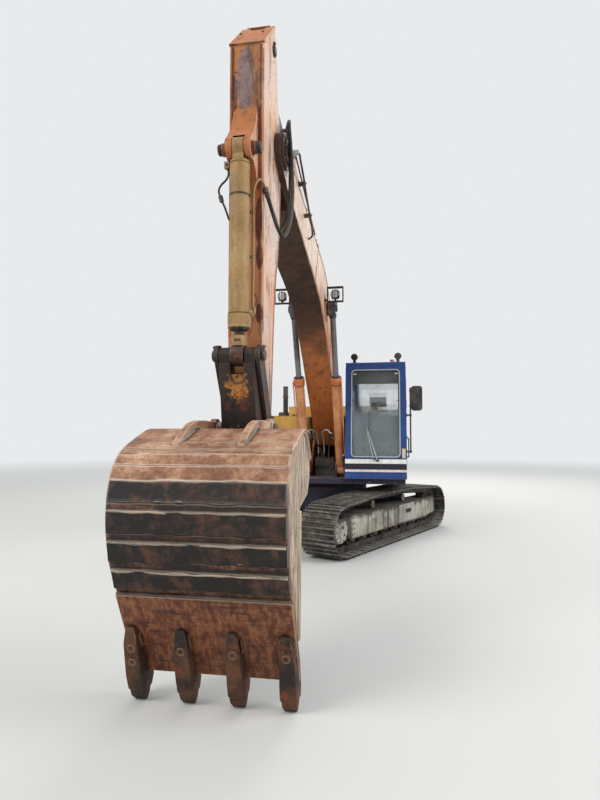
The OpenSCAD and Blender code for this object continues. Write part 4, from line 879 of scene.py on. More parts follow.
def make_bucket():
    """The bucket's shell, side plates, wear strips, lip and ears."""
    piece = Piece("bucket_shell")
    bucket_shell(piece)
    core = offset_line(BUCKET_BACK, SHELL_T * 0.6)
    for side in (-1, 1):
        outer = side * (BUCKET_HALF - 0.015)
        piece.prism([tuple(p) for p in core] + BUCKET_MOUTH, outer - side * SHELL_T, outer,
                    "bucket_side", 0.006)
        # Weld between the side plate and the shell, and along the lip
        piece.weld([at(u, z, outer + side * 0.003)
                    for u, z in offset_line(BUCKET_BACK, SHELL_T + 0.004)[::2]], 0.009, "bright")
        # Side cutter along the mouth
        edge = [(6.47, 0.45), (6.53, 0.46), (6.51, 0.98), (6.48, 1.3), (6.42, 1.3), (6.45, 0.98)]
        piece.prism(edge, outer - side * 0.004, outer + side * 0.012, "bucket_side", 0.005)

    for index, (top, low) in enumerate(BUCKET_STRIPS):
        way = (Vector(low) - Vector(top)).normalized()
        back = Vector((way[1], -way[0])) * 0.034
        outline = [top, low, tuple(Vector(low) + back), tuple(Vector(top) + back)]
        half = BUCKET_HALF - 0.012
        face = "bucket" if index < 2 else "strip"

        def knocked(p, seed=index * 3.1):
            wave = 0.006 * noise.noise(p * 9 + Vector((seed, 0, 0)))
            return p + Vector((0.004 * noise.noise(p * 11 + Vector((seed, 0, 0))), wave, wave))

        steps = [-half + 2 * half * i / STRIP_STEPS for i in range(STRIP_STEPS + 1)]
        for a, b in zip(steps, steps[1:]):
            piece.slab([at(u, z, a) for u, z in outline], ACROSS * (b - a + 0.0005), face, 0.0, 1, knocked)
        # Uneven worn line along the strip's top, and the soil packed below its lower edge
        line = [knocked(at(top[0], top[1], v)) for v in steps]
        piece.tube([p + Vector((0, 0.004, -0.004)) for p in line], uneven(0.007, 0.012, 9, (index * 5, 0)),
                   "ridge", 6)
        if index > 1:
            low_line = [knocked(at(low[0], low[1], v)) for v in steps]
            piece.tube([p + Vector((0, 0.012, 0.002)) for p in low_line],
                       uneven(0.011, 0.008, 18, (index * 7, 2)), "strip", 6)

    piece.prism(BUCKET_LIP, -BUCKET_HALF, BUCKET_HALF, "lip", 0.008)
    piece.seam(at(6.792, 0.79, -0.58), at(6.792, 0.79, 0.58), 0.012)

    # Hinge ears with their bosses
    ear = [(BUCKET_PIN[0] - 0.09, BUCKET_PIN[1] - 0.07), (BUCKET_PIN[0] + 0.07, BUCKET_PIN[1] - 0.095),
           (6.1, 1.42), (6.4, 1.7), (6.69, 1.735), (6.7, 1.765), (6.57, 1.842), (6.45, 1.9), (6.33, 1.925),
           (6.16, 1.93), (LINK_PIN[0] + 0.06, LINK_PIN[1] + 0.06), (LINK_PIN[0] - 0.06, LINK_PIN[1] + 0.06)]
    for side in (-1, 1):
        low, high = sorted((side * EAR_V[0], side * EAR_V[1]))
        piece.prism(ear, low, high, "bucket", 0.007)
        inner, outer = side * EAR_BOSS_V, side * (EAR_V[1] + 0.012)
        for pin, radius in ((BUCKET_PIN, 0.118), (LINK_PIN, 0.086)):
            piece.turned([(0, radius - 0.024), (abs(inner - outer), radius - 0.024)], at(*pin, inner),
                         ACROSS * side, "bucket", 28, 0.005)
            piece.bar(radius, 0.05, at(*pin, side * EAR_V[0]), ACROSS * side, "bucket", 32, 0.006)
        for edge in (EAR_V[0] - 0.004, EAR_V[1] + 0.004):
            piece.weld([at(u, z, side * edge) for u, z in curve(EAR_WELD, 5)], 0.01, "bright")
        # Pin heads with their keeper bolts
        piece.turned([(0, 0.062), (0.02, 0.062), (0.026, 0.05)], at(*BUCKET_PIN, side * 0.264),
                     ACROSS * side, "pin")
        piece.turned([(0, 0.05), (0.02, 0.05), (0.025, 0.04)], at(*LINK_PIN, side * 0.262),
                     ACROSS * side, "pin")
        piece.bolt(at(BUCKET_PIN[0], BUCKET_PIN[1] + 0.092, side * 0.266), ACROSS * side, 0.012)
    piece.bar(0.045, 0.56, at(*BUCKET_PIN, -0.28), ACROSS, "pin")
    piece.done("bucket", "rust", "bucket")


def make_teeth():
    """Teeth with their straps and pins along the lip."""
    piece = Piece("bucket_tooth_set")
    strap = [(6.478, 0.2037), (6.522, 0.1957), (6.611, 0.422), (6.64, 0.478), (6.668, 0.532),
             (6.687, 0.546), (6.703, 0.54), (6.712, 0.52), (6.709, 0.495), (6.693, 0.43), (6.668, 0.33),
             (6.628, 0.19), (6.59, 0.09), (6.47, 0.084), (6.44, 0.15), (6.452, 0.2037)]
    point = [(6.592, 0.11), (6.568, 0.04), (6.524, 0.001), (6.5, 0.001), (6.474, 0.04), (6.468, 0.11)]
    half = TOOTH_HALF
    for i in range(TEETH):
        v = -BUCKET_HALF + half + i * (2 * BUCKET_HALF - 2 * half) / (TEETH - 1)

        def narrowed(p, middle=v):
            share = min(1.0, max(0.0, (0.5 - p.z) / 0.5))
            crown = math.sqrt(max(0.3, 1 - (max(0.0, p.z - 0.47) / 0.09) ** 2))
            dent = 0.006 * noise.noise(p * 13)
            return Vector((middle + (p.x - middle) * (0.74 + 0.26 * share) * crown + dent, p.y + dent, p.z))

        def pointed(p, middle=v):
            share = min(1.0, max(0.0, p.z / 0.11))
            return Vector((middle + (p.x - middle) * (0.82 + 0.18 * share), p.y, p.z))

        piece.prism(strap, v - half, v + half, "tine", 0.022, 4, narrowed)
        piece.prism(point, v - half + 0.006, v + half - 0.006, "tine", 0.016, 3, pointed)
        for u, z, reach in ((6.687, 0.4, 0.024), (6.66, 0.3, 0.022))[:2 if i == 0 else 1]:
            piece.ring(at(u, z, v), heading(0.97, -0.25), reach, 0.005, "tine", 24)
        piece.bar(0.013, 0.122, at(6.54, 0.125, v - 0.061), ACROSS, "pin", 12)
        for side in (-1, 1):
            piece.seam(at(6.66, 0.5, v + side * 0.045), at(6.62, 0.4, v + side * 0.05), 0.008, "tine")
    piece.done("bucket", "rust", "bucket_teeth")


# Linkage, stick, boom and their cylinders

STICK_HALF = 0.144
BOOM_HALF = 0.205
# Where the welded splices cross the boom: share of its length, upper and lower edge
BOOM_SPLICES = ((0.33, 1.14, 0.31), (0.6265, 1.0, 0.37))
# Edges of the boom's side: share of its length, and height over the line between its pins
BOOM_TOP = [(0.1, 0.48), (0.19, 0.78), (0.33, 1.14), (0.38, 1.218), (0.426, 1.258), (0.472, 1.262),
            (0.522, 1.21), (0.575, 1.113), (0.6265, 1.0), (0.95, 0.27)]
BOOM_LOW = [(0.122, 0.01), (0.348, 0.33), (0.4, 0.395), (0.452, 0.44), (0.497, 0.456), (0.54, 0.45),
            (0.592, 0.405), (0.644, 0.33), (0.9, -0.093)]
# Radius and length of each cylinder's barrel
BUCKET_RAM = (0.08, 1.47)
STICK_RAM = (0.082, 1.9)
BOOM_RAM = (0.076, 1.65)
# Half the width over the linkage's rocker bars, the boom's fork and its cylinders' pin
ROCKER_V = 0.1965
FORK_V = 0.264
RAM_PIN_V = 0.352


def end_cap(piece, pin, v, side, radius, finish="pin"):
    """A pin's head with a keeper plate and two bolts."""
    piece.cap(radius, 0.014, 0.006, at(*pin, v), ACROSS * side, finish)
    piece.box((pin[0] - 0.022, pin[0] + 0.022), sorted((v, v + side * 0.012)),
              (pin[1], pin[1] + radius + 0.035), finish, 0.003)
    piece.bolt(at(pin[0], pin[1] + radius + 0.022, v + side * 0.012), ACROSS * side, 0.009)


def make_linkage():
    """The link's front plate and welds, and the rocker bars' pins."""
    link = Piece("link_plate_trim")
    way = (Vector(LINK_TOP) - Vector(LINK_PIN)).normalized()
    front = Vector((way[1], -way[0]))
    for side in (-1, 1):
        link.cap(0.074, 0.012, 0.006, at(*LINK_PIN, side * 0.1435), ACROSS * side, "link")
        for share in (0.3, 0.55):
            place = Vector(LINK_PIN) + way * 0.595 * share + front * 0.079
            link.seam(at(*place, side * 0.064), at(*(place + way * 0.1), side * 0.064), 0.006)
    # One plate over the front of both arms, with a round-bottomed opening for the rod's eye
    low = Vector(LINK_PIN) + way * 0.02 + front * 0.0765
    high = Vector(LINK_TOP) - way * 0.055 + front * 0.0765
    reach = (high - low).length

    def on_plate(v, along, out=0.0):
        return at(*(low + way * along + front * out), v)

    throat = [(0.056 * math.cos(math.radians(t)), reach - 0.105 - 0.05 * math.sin(math.radians(t)))
              for t in range(0, 181, 20)]
    outline = [(-0.143, 0.0), (0.143, 0.0), (0.143, reach), (0.056, reach), *throat, (-0.056, reach),
               (-0.143, reach)]
    link.slab([on_plate(v, along) for v, along in outline], heading(*(front * 0.012)),
              "link_plate", 0.003)
    link.weld([on_plate(v * 1.08, along - 0.004, 0.012) for v, along in throat], 0.007, "shaft")
    link.bar(0.007, 0.02, on_plate(0.0, 0.02, 0.01), FORWARD, "bolt", 8)
    link.done("link", "rust")

    rocker = Piece("rocker_pins")
    for side in (-1, 1):
        end_cap(rocker, LINK_TOP, side * ROCKER_V, side, 0.046)
        end_cap(rocker, ROCKER_FOOT, side * ROCKER_V, side, 0.042)
        # Collars on the shaft between the rocker bars and the link
        rocker.bar(0.062, 0.0105, at(*LINK_TOP, side * 0.145), ACROSS * side, "shaft")
    rocker.done("rocker", "rust")


def make_stick_trim():
    """Welds, doublers, covers and pin heads of the stick."""
    piece = Piece("stick_trim")
    half = STICK_HALF
    # Weld lines along the box's long edges
    back = [(5.018, 4.56), (5.046, 4.3), (5.096, 3.73), (5.296, 3.05), (5.416, 2.12), (5.52, 1.56)]
    for side in (-1, 1):
        outer = side * (half + 0.001)
        piece.weld([at(u + 0.028, z, outer) for u, z in curve(back, 8)], 0.006, "stick")
        piece.seam(at(5.762, 5.12, outer), at(5.762, 2.66, outer), 0.0045, "stick")
        piece.seam(at(5.792, 5.14, side * (half - 0.018)), at(5.792, 4.66, side * (half - 0.018)),
                   0.006, "rusty")
        # Doubler plates round the bucket's pin and the rocker's
        piece.turned([(0, 0.105), (0.012, 0.105), (0.016, 0.1)], at(*BUCKET_PIN, side * (half - 0.002)),
                     ACROSS * side, "stick", 36)
        piece.turned([(0, 0.075), (0.008, 0.075), (0.012, 0.07)], at(*ROCKER_FOOT, side * (half - 0.002)),
                     ACROSS * side, "stick", 30)
        piece.ring(at(*BUCKET_PIN, side * half), ACROSS, 0.108, 0.005, "stick", 36)
        # Bucket cylinder pin's heads
        piece.cap(0.046, 0.03, 0.006, at(*BUCKET_RAM_FOOT, side * half), ACROSS * side, "tooth")
        piece.ring(at(*BUCKET_RAM_FOOT, side * 0.106), ACROSS, 0.056, 0.006, "rusty", 28)
        # Stick cylinder's rod pin
        end_cap(piece, STICK_RAM_PIN, side * (half + 0.001), side, 0.05)
        # Welds where the bracket's cheeks meet the front plate
        for low, high, u in ((3.87, 3.97, 5.8), (4.5, 4.64, 5.82)):
            piece.seam(at(5.8, low, side * 0.106), at(u, high, side * 0.106), 0.009, "rusty")
    # Edge of the cap plate, and its bolts
    piece.prism([(5.375, 5.606), (5.345, 5.592), (5.34, 5.6), (5.37, 5.618)], -0.11, 0.11, "stick", 0.003)
    for v in (-0.1, 0.1):
        piece.bolt(at(5.6, 5.375, v) + Vector((0, -0.006, 0.006)), Vector((0, -0.72, 0.7)), 0.011)
    # Bolted cover low on the front plate
    piece.slab([at(5.745, 2.2, -0.07), at(5.745, 2.2, 0.07), at(5.776, 2.5, 0.07), at(5.776, 2.5, -0.07)],
               Vector((0, -0.006, 0)), "stick", 0.002)
    for z in (2.23, 2.47):
        for v in (-0.052, 0.052):
            piece.bolt(at(5.751 + (z - 2.2) * 0.103, z, v), FORWARD, 0.008)
    # Tip pin's keeper at the boom's fork
    for side in (-1, 1):
        end_cap(piece, BOOM_TIP, side * FORK_V, side, 0.06, "tooth")
    piece.done("stick", "orange")


def make_boom_trim():
    """Welds, doublers, pin heads and pipe clamps of the boom."""
    piece = Piece("boom_trim")
    half = BOOM_HALF
    angle = math.atan2(BOOM_TIP[1] - BOOM_FOOT[1], BOOM_TIP[0] - BOOM_FOOT[0])
    length = math.dist(BOOM_FOOT, BOOM_TIP)
    along = Vector((math.cos(angle), math.sin(angle)))
    above = Vector((-along[1], along[0]))

    def on_boom(share, height):
        return tuple(Vector(BOOM_FOOT) + along * length * share + above * height)

    for side in (-1, 1):
        outer = side * (half + 0.001)
        for line, inward in ((BOOM_TOP, -0.024), (BOOM_LOW, 0.024)):
            path = curve([on_boom(share, height + inward) for share, height in line], 6)
            piece.weld([at(u, z, outer) for u, z in path], 0.006, "boom")
        # Splice welds across the side plates
        for share, high, deep in BOOM_SPLICES:
            piece.seam(at(*on_boom(share, high - 0.03), outer), at(*on_boom(share, deep + 0.03), outer),
                       0.005, "boom")
        # Doubler discs and pins
        piece.cap(0.19, 0.009, 0.003, at(*BOOM_RAM_PIN, side * (half - 0.002)), ACROSS * side, "boom", 40)
        piece.ring(at(*BOOM_RAM_PIN, side * (half + 0.004)), ACROSS, 0.193, 0.006, "boom", 40)
        end_cap(piece, BOOM_RAM_PIN, side * RAM_PIN_V, side, 0.056)
        piece.cap(0.12, 0.006, 0.004, at(*STICK_RAM_FOOT, side * 0.094), ACROSS * side, "boom")
        piece.cap(0.056, 0.014, 0.006, at(*STICK_RAM_FOOT, side * 0.1), ACROSS * side, "pin")
        piece.bar(0.166, 0.006, at(*BOOM_TIP, side * 0.229), ACROSS * side, "tooth", 40)
        for turn in range(8):
            spot = Vector(BOOM_TIP) + 0.135 * Vector((math.cos(turn * math.pi / 4),
                                                      math.sin(turn * math.pi / 4)))
            piece.bolt(at(*spot, side * 0.235), ACROSS * side, 0.01)
    # Clamps over the pipes on the top plate
    splice, start = BOOM_SPLICES[1][:2]
    fall = (start - 0.17) / (length * (1 - splice) + 0.04)
    for share in (0.67, 0.73, 0.79, 0.85):
        height = start - (share - splice) * length * fall
        base = Vector(on_boom(share, height))
        lift = above * 0.036
        a, b = base - along * 0.025, base + along * 0.025
        piece.prism([tuple(a), tuple(b), tuple(b + lift), tuple(a + lift)], -0.1, 0.1, "pin", 0.006)
        for v in (-0.088, -0.03, 0.03, 0.088):
            piece.bolt(at(*(base + lift), v), heading(*above), 0.007)
    piece.done("boom", "orange")


def along_ram(foot, head, distance, turn=0.0, reach=0.0, v=0.0):
    """A point so far from a cylinder's foot, at a turn round its axis from the upper side."""
    way = (Vector(head) - Vector(foot)).normalized()
    upper = Vector((-way[1], way[0]))
    u, z = Vector(foot) + way * distance + upper * reach * math.cos(turn)
    return at(u, z, v + reach * math.sin(turn))


def ram_trim(name, body, foot, head, v, radius, length, paint, pipe_turn=None, band=None, collar=None):
    """Rings, gland, ports and the feed pipe of one cylinder's barrel."""
    piece = Piece(name)
    way = (at(*head) - at(*foot)).normalized()
    gland = length - 0.11

    def spot(distance, turn=0.0, reach=0.0):
        return along_ram(foot, head, distance, turn, reach, v)

    piece.turned([(0, radius + 0.0135), (0.085, radius + 0.0135), (0.104, radius + 0.004),
                  (0.114, radius - 0.02)], spot(gland), way, collar or paint, 40)
    piece.ring(spot(gland - 0.012), way, radius + 0.003, 0.008, collar or paint, 40)
    piece.turned([(0, radius - 0.004), (0.012, radius - 0.004), (0.02, radius - 0.014)], spot(length),
                 way, "tooth", 40)
    for turn in range(8):
        piece.bolt(spot(length + 0.006, turn * math.pi / 4, radius - 0.006), way, 0.0075)
    piece.ring(spot(0.13), way, radius + 0.001, 0.005, paint, 40)
    if band:
        place = spot(band)
        piece.bar(radius + 0.004, 0.014, place, way, "tooth", 40)
        piece.bolt(spot(band + 0.007, math.pi / 2, radius), ACROSS, 0.011, "tooth")
    if pipe_turn:
        # Feed pipe from the foot's port to the gland's
        out = radius + 0.03
        path = [spot(0.3, pipe_turn, radius * 0.9)]
        stations = (0.32, 0.4, length * 0.6, gland - 0.05, gland + 0.03)
        path += [spot(station, pipe_turn, out) for station in stations]
        path.append(spot(gland + 0.05, pipe_turn, radius))
        piece.tube(curve(path, 5), bpy.context.scene.excavator_sizes.ram_pipe, paint, 10)
        for distance in (0.3, gland + 0.05):
            port = spot(distance, pipe_turn, radius - 0.004)
            outward = (spot(distance, pipe_turn, out) - port).normalized()
            piece.turned([(0, 0.024), (0.02, 0.024), (0.03, 0.018), (0.042, 0.018)], port,
                         outward, paint, 12)
    piece.done(body, "orange")


def make_rams():
    """Trim of the bucket's, the stick's and both boom cylinders, and the necks of their rods."""
    ram_trim("bucket_ram_trim", "bucket_barrel", BUCKET_RAM_FOOT, LINK_TOP, 0.0, *BUCKET_RAM,
             "ochre", band=0.385)
    ram_trim("stick_ram_trim", "stick_barrel", STICK_RAM_FOOT, STICK_RAM_PIN, 0.0, *STICK_RAM,
             "boom", 1.2, 0.9)
    for side, word in ((1, "left"), (-1, "right")):
        ram_trim(f"boom_ram_{word}_trim", f"boom_barrel_{word}", RAM_FOOT, BOOM_RAM_PIN, side * RAM_SIDE,
                 *BOOM_RAM, "peach", side * 2.2, collar="collar")
        neck = Piece(f"boom_rod_{word}_trim")
        way = (at(*BOOM_RAM_PIN) - at(*RAM_FOOT)).normalized()
        eye = along_ram(RAM_FOOT, BOOM_RAM_PIN, math.dist(RAM_FOOT, BOOM_RAM_PIN) - 0.15, v=side * RAM_SIDE)
        neck.turned([(0, 0.05), (0.03, 0.058), (0.06, 0.058)], eye, way, "pin")
        neck.done(f"boom_rod_{word}", "rod")
    rod = Piece("bucket_rod_trim")
    way = (at(*LINK_TOP) - at(*BUCKET_RAM_FOOT)).normalized()
    reach = math.dist(BUCKET_RAM_FOOT, LINK_TOP)
    place = along_ram(BUCKET_RAM_FOOT, LINK_TOP, reach - 0.16)
    rod.turned([(0, 0.046), (0.03, 0.058), (0.07, 0.062), (0.085, 0.062)], place, way, "ochre")
    rod.bar(0.088, 0.098, at(*LINK_TOP, -0.049), ACROSS, "shaft", 32, 0.005)
    for turn in (-0.5, 0.5):
        front = along_ram(BUCKET_RAM_FOOT, LINK_TOP, reach - 0.12) + Vector((0.03 * turn, -0.058, 0))
        rod.bolt(front, FORWARD, 0.009, "rusty")
    rod.done("bucket_rod", "rod")


def make_hoses():
    """The hoses from body to body, and the pipes that they end at."""
    sizes = bpy.context.scene.excavator_sizes
    # From the boom's top pipes over the tip pin, down, and up again to the bucket cylinder's pipe
    loop = Piece("tip_hose")
    loop.hose([at(4.72, 4.78, 0.1), at(4.9, 4.84, 0.17), at(5.12, 4.82, 0.24), at(5.26, 4.68, 0.27),
               at(5.28, 4.45, 0.29), at(5.24, 4.1, 0.3), at(5.26, 3.86, 0.29), at(5.33, 3.68, 0.272),
               at(5.46, 3.575, 0.255), at(5.58, 3.6, 0.235), at(5.66, 3.69, 0.212), at(5.72, 3.78, 0.19),
               at(5.77, 3.865, 0.17)], sizes.arm_hose)
    loop.done(("boom", "stick", at(5.1, 4.83), at(5.26, 3.86)), "black")
    inner = Piece("stick_back_hose")
    inner.hose([at(4.72, 4.74, 0.04), at(4.9, 4.8, 0.1), at(5.08, 4.76, 0.19), at(5.17, 4.62, 0.245),
                at(5.18, 4.4, 0.262), at(5.14, 4.15, 0.255), at(5.07, 3.95, 0.22), at(5.0, 3.84, 0.16),
                at(5.0, 3.76, 0.09), at(5.05, 3.72, 0.05)], sizes.arm_hose)
    inner.done(("boom", "stick", at(5.0, 4.8), at(5.14, 4.1)), "black")

    # The bucket cylinder's pipes: a bow at its right side, and a thin one from its block at the left
    pipes = Piece("bucket_ram_pipes")
    side_line = [at(5.93 - 0.004 * z, z, 0.1) for z in (2.86, 3.1, 3.5)]
    pipes.tube(curve([at(5.96, 2.79, 0.075), at(5.945, 2.78, 0.112), at(5.935, 2.83, 0.118), *side_line,
                      at(5.915, 3.78, 0.1), at(5.89, 3.88, 0.113), at(5.85, 3.93, 0.137),
                      at(5.81, 3.915, 0.156), at(5.775, 3.87, 0.169)], 5), sizes.ram_pipe, "ochre", 10)
    pipes.cap(0.026, 0.03, 0.006, at(5.962, 2.79, 0.074), ACROSS, "ochre", 12)
    pipes.box((5.93, 5.975), (-0.135, -0.088), (3.99, 4.045), "ochre", 0.006)
    pipes.bolt(at(5.976, 4.018, -0.112), FORWARD, 0.011, "pin")
    pipes.tube(curve([at(5.95, 4.0, -0.112), at(5.952, 3.95, -0.1), at(5.955, 3.9, -0.118),
                      at(5.955, 3.855, -0.163), at(5.955, 3.81, -0.182), at(5.955, 3.75, -0.165),
                      at(5.96, 3.66, -0.126), at(5.965, 3.56, -0.09)], 5), 0.0085, "tooth", 10)
    pipes.bar(0.019, 0.05, at(5.957, 3.765, -0.168), heading(0, -0.05, 0.014), "pin", 8)
    for z in (3.25, 3.62):
        pipes.box((5.9, 5.925), (0.07, 0.116), (z, z + 0.022), "ochre", 0.004)
    pipes.done("bucket_barrel", "orange")

    # Pipe on stand-offs along the boom's side, from its fitting near the tip
    side_pipe = Piece("boom_side_pipe")
    side_pipe.turned([(0, 0.03), (0.045, 0.03), (0.06, 0.02)], at(4.71, 4.72, 0.21), ACROSS, "seal", 8)
    side_pipe.tube(curve([at(4.71, 4.72, 0.25), at(4.705, 4.7, 0.272), at(4.67, 4.655, 0.276),
                          at(4.48, 4.57, 0.275), at(4.28, 4.46, 0.272), at(4.0, 4.33, 0.268),
                          at(3.84, 4.27, 0.266), at(3.74, 4.2, 0.26), at(3.71, 4.17, 0.235),
                          at(3.7, 4.16, 0.2)], 6), 0.0115, "pin", 10)
    for u, z in ((4.4, 4.527), (4.0, 4.33)):
        side_pipe.box((u - 0.016, u + 0.016), (0.203, 0.288), (z - 0.022, z + 0.022), "pin", 0.004)
        side_pipe.bolt(at(u, z, 0.288), ACROSS, 0.008)
    side_pipe.done("boom", "black")

    # From the deck's valve block, up and over to a port on the inner side of each boom cylinder
    feeds = (("right", -1, -0.12, ((0.93, 1.862, -0.155), (1.08, 1.868, -0.18), (1.2, 1.84, -0.198))),
             ("left", 1, -0.02, ((0.93, 1.862, 0.045), (1.08, 1.858, 0.12), (1.2, 1.82, 0.165))))
    for word, side, v, over in feeds:
        port = along_ram(RAM_FOOT, BOOM_RAM_PIN, 0.6, -side * math.pi / 2, 0.1, side * RAM_SIDE)
        feed = Piece(f"foot_hose_{word}")
        feed.hose([at(0.5, 1.41, v), at(0.505, 1.48, v), at(0.54, 1.6, v), at(0.62, 1.72, v),
                   at(0.75, 1.815, v), *(at(*p) for p in over),
                   port + Vector((-side * 0.012, 0, 0.06)), port], sizes.foot_hose, "seal")
        feed.turned([(-0.03, 0.021), (0.02, 0.021)], port, ACROSS * side, "pin", 8)
        feed.done(("upper", f"boom_barrel_{word}", at(0.55, 1.6, v), at(1.1, 1.86, side * 0.17)), "black")
    for word, v, far in (("middle_right", -0.06, -0.2), ("middle_left", 0.06, 0.1)):
        drop = Piece(f"foot_hose_{word}")
        drop.hose([at(0.5, 1.4, v), at(0.505, 1.47, v), at(0.54, 1.56, v + (far - v) * 0.3),
                   at(0.59, 1.66, v + (far - v) * 0.7), at(0.6, 1.74, far), at(0.585, 1.82, far)], 0.012)
        drop.turned([(-0.03, 0.02), (0.02, 0.02)], at(0.58, 1.84, far), UP, "pin", 6)
        drop.done(("upper", "boom", at(0.52, 1.52, v), at(0.59, 1.7, far)), "black")
    # Plate behind the block, between the frame's uprights
    back = Piece("valve_back_plate")
    back.box((0.4, 0.412), (-0.195, 0.195), (1.09, 1.38), "collar", 0.003)
    for v in (-0.17, 0.17):
        for z in (1.13, 1.34):
            back.bolt(at(0.412, z, v), FORWARD, 0.009)
    back.done("upper", "orange")


# Cab

CAB_MIDDLE = 0.8975
CAB_SIDE = 1.384
CAB_LEAN = math.radians(6.98)
CAB_FOOT = (1.295, 1.089)
# The door's rear edge, its front edge at the foot, and the foot's height
DOOR = (0.245, 1.145, 1.1793)
# Lower and upper edge of the windows in the cab's sides, and how far a seal laps either way
WINDOW_Z = (1.79, 2.7)
LOW_WINDOW_Z = (1.33, 1.72)
SEAL_OUT = -0.014
SEAL_IN = 0.012
SCREEN_MIDDLE_Z = 2.14
BLIND_HALF = 0.375
BLIND_Z = (2.63, 2.87)
ROOF_LAMP_Z = 3.082
MIRROR_U = 1.153
MIRROR_V = 1.45
SEAT_U = 0.18


def on_screen(x, z, out=0.0):
    """A point on the leaning windscreen plane: x from the cab's middle, z up, and out of the plane."""
    along = (z - CAB_FOOT[1]) / math.cos(CAB_LEAN)
    return at(CAB_FOOT[0] - along * math.sin(CAB_LEAN) + out * math.cos(CAB_LEAN),
              z + out * math.sin(CAB_LEAN), CAB_MIDDLE + x)


def screen_ring(width, height, radius):
    """A rounded rectangle on the windscreen plane about the opening's middle."""
    lift = math.cos(CAB_LEAN)
    return [on_screen(x, SCREEN_MIDDLE_Z + y * lift) for x, y in rounded(width, height, radius)]


def on_screen_box(x0, x1, z0, z1, out):
    """A rectangle on the windscreen plane."""
    return [on_screen(x, z, out) for x, z in corners(x0, x1, z0, z1)]


def pane_outline(low, high, margin):
    """A window of the door, whose front edge leans with the windscreen."""
    rear, front, foot = DOOR
    fall = math.tan(CAB_LEAN)
    a, b = rear + 0.075 + margin, front - 0.075 - margin
    return [(a, low + margin), (b - (low - foot) * fall, low + margin),
            (b - (high - foot) * fall, high - margin), (a, high - margin)]


def window_seal(piece, outline, inner, v, side):
    """A rubber seal round a flat window in a side wall."""
    piece.ringed([at(u, z, v) for u, z in outline], [at(u, z, v) for u, z in inner],
                 ACROSS * (0.007 * side), "rubber", 0.002)


def make_cab_front():
    """Seal, blind, wiper and plate of the windscreen."""
    piece = Piece("windscreen_trim")
    out = on_screen(0, 2, 0.012) - on_screen(0, 2)
    piece.ringed(screen_ring(0.786, 1.434, 0.066), screen_ring(0.752, 1.4, 0.05), out, "seal", 0.004)
    piece.ringed(screen_ring(0.808, 1.456, 0.076), screen_ring(0.78, 1.428, 0.064), out * 0.5, "cab", 0.002)
    # Blind behind the top of the glass, and its roller
    piece.slab(on_screen_box(-BLIND_HALF, BLIND_HALF, *BLIND_Z, -0.05), out * -0.4, "blind", 0.002)
    piece.tube([on_screen(x, BLIND_Z[0], -0.052) for x in (-BLIND_HALF, BLIND_HALF)], 0.009, "blind", 8)
    for side in (-1, 1):
        clip, stop = side * 0.335, side * 0.36
        piece.slab(on_screen_box(clip - 0.028, clip + 0.028, 2.765, 2.787, 0.003), out * 0.9,
                   "white", 0.003)
        piece.slab(on_screen_box(stop - 0.02, stop + 0.02, 2.33, 2.345, 0.003), out * 0.7, "rubber", 0.002)
    # Wiper: twin arms and a blade
    piece.turned([(0, 0.024), (0.03, 0.022), (0.036, 0.014)], on_screen(0.03, 1.385, 0.004),
                 out, "rubber", 16)
    piece.turned([(0, 0.016), (0.028, 0.015)], on_screen(-0.03, 1.4, 0.004), out, "rubber", 14)
    piece.tube([on_screen(0.03, 1.385, 0.036), on_screen(-0.04, 1.6, 0.04), on_screen(-0.125, 1.86, 0.03)],
               lambda share: 0.0085 - 0.003 * share, "seal", 8)
    piece.tube([on_screen(-0.03, 1.4, 0.034), on_screen(-0.08, 1.6, 0.036), on_screen(-0.13, 1.82, 0.028)],
               0.005, "seal", 8)
    blade = ((-0.1, 2.16), (-0.112, 2.16), (-0.118, 1.72), (-0.106, 1.72))
    piece.slab([on_screen(x, z, 0.006) for x, z in blade], out * 1.6, "rubber", 0.003)
    # Blank worn plate low on the outer post
    plate = ((0.415, 1.42), (0.472, 1.42), (0.47, 1.57), (0.413, 1.57))
    piece.slab([on_screen(x, z, 0.0005) for x, z in plate], out * 0.12, "cream", 0.0004, 1)
    # Bolts of the guard brackets on the skirt
    for x in (-0.44, 0.44):
        piece.bolt(on_screen(x, 1.14, 0.0), out, 0.009)
    piece.done("upper", "black")


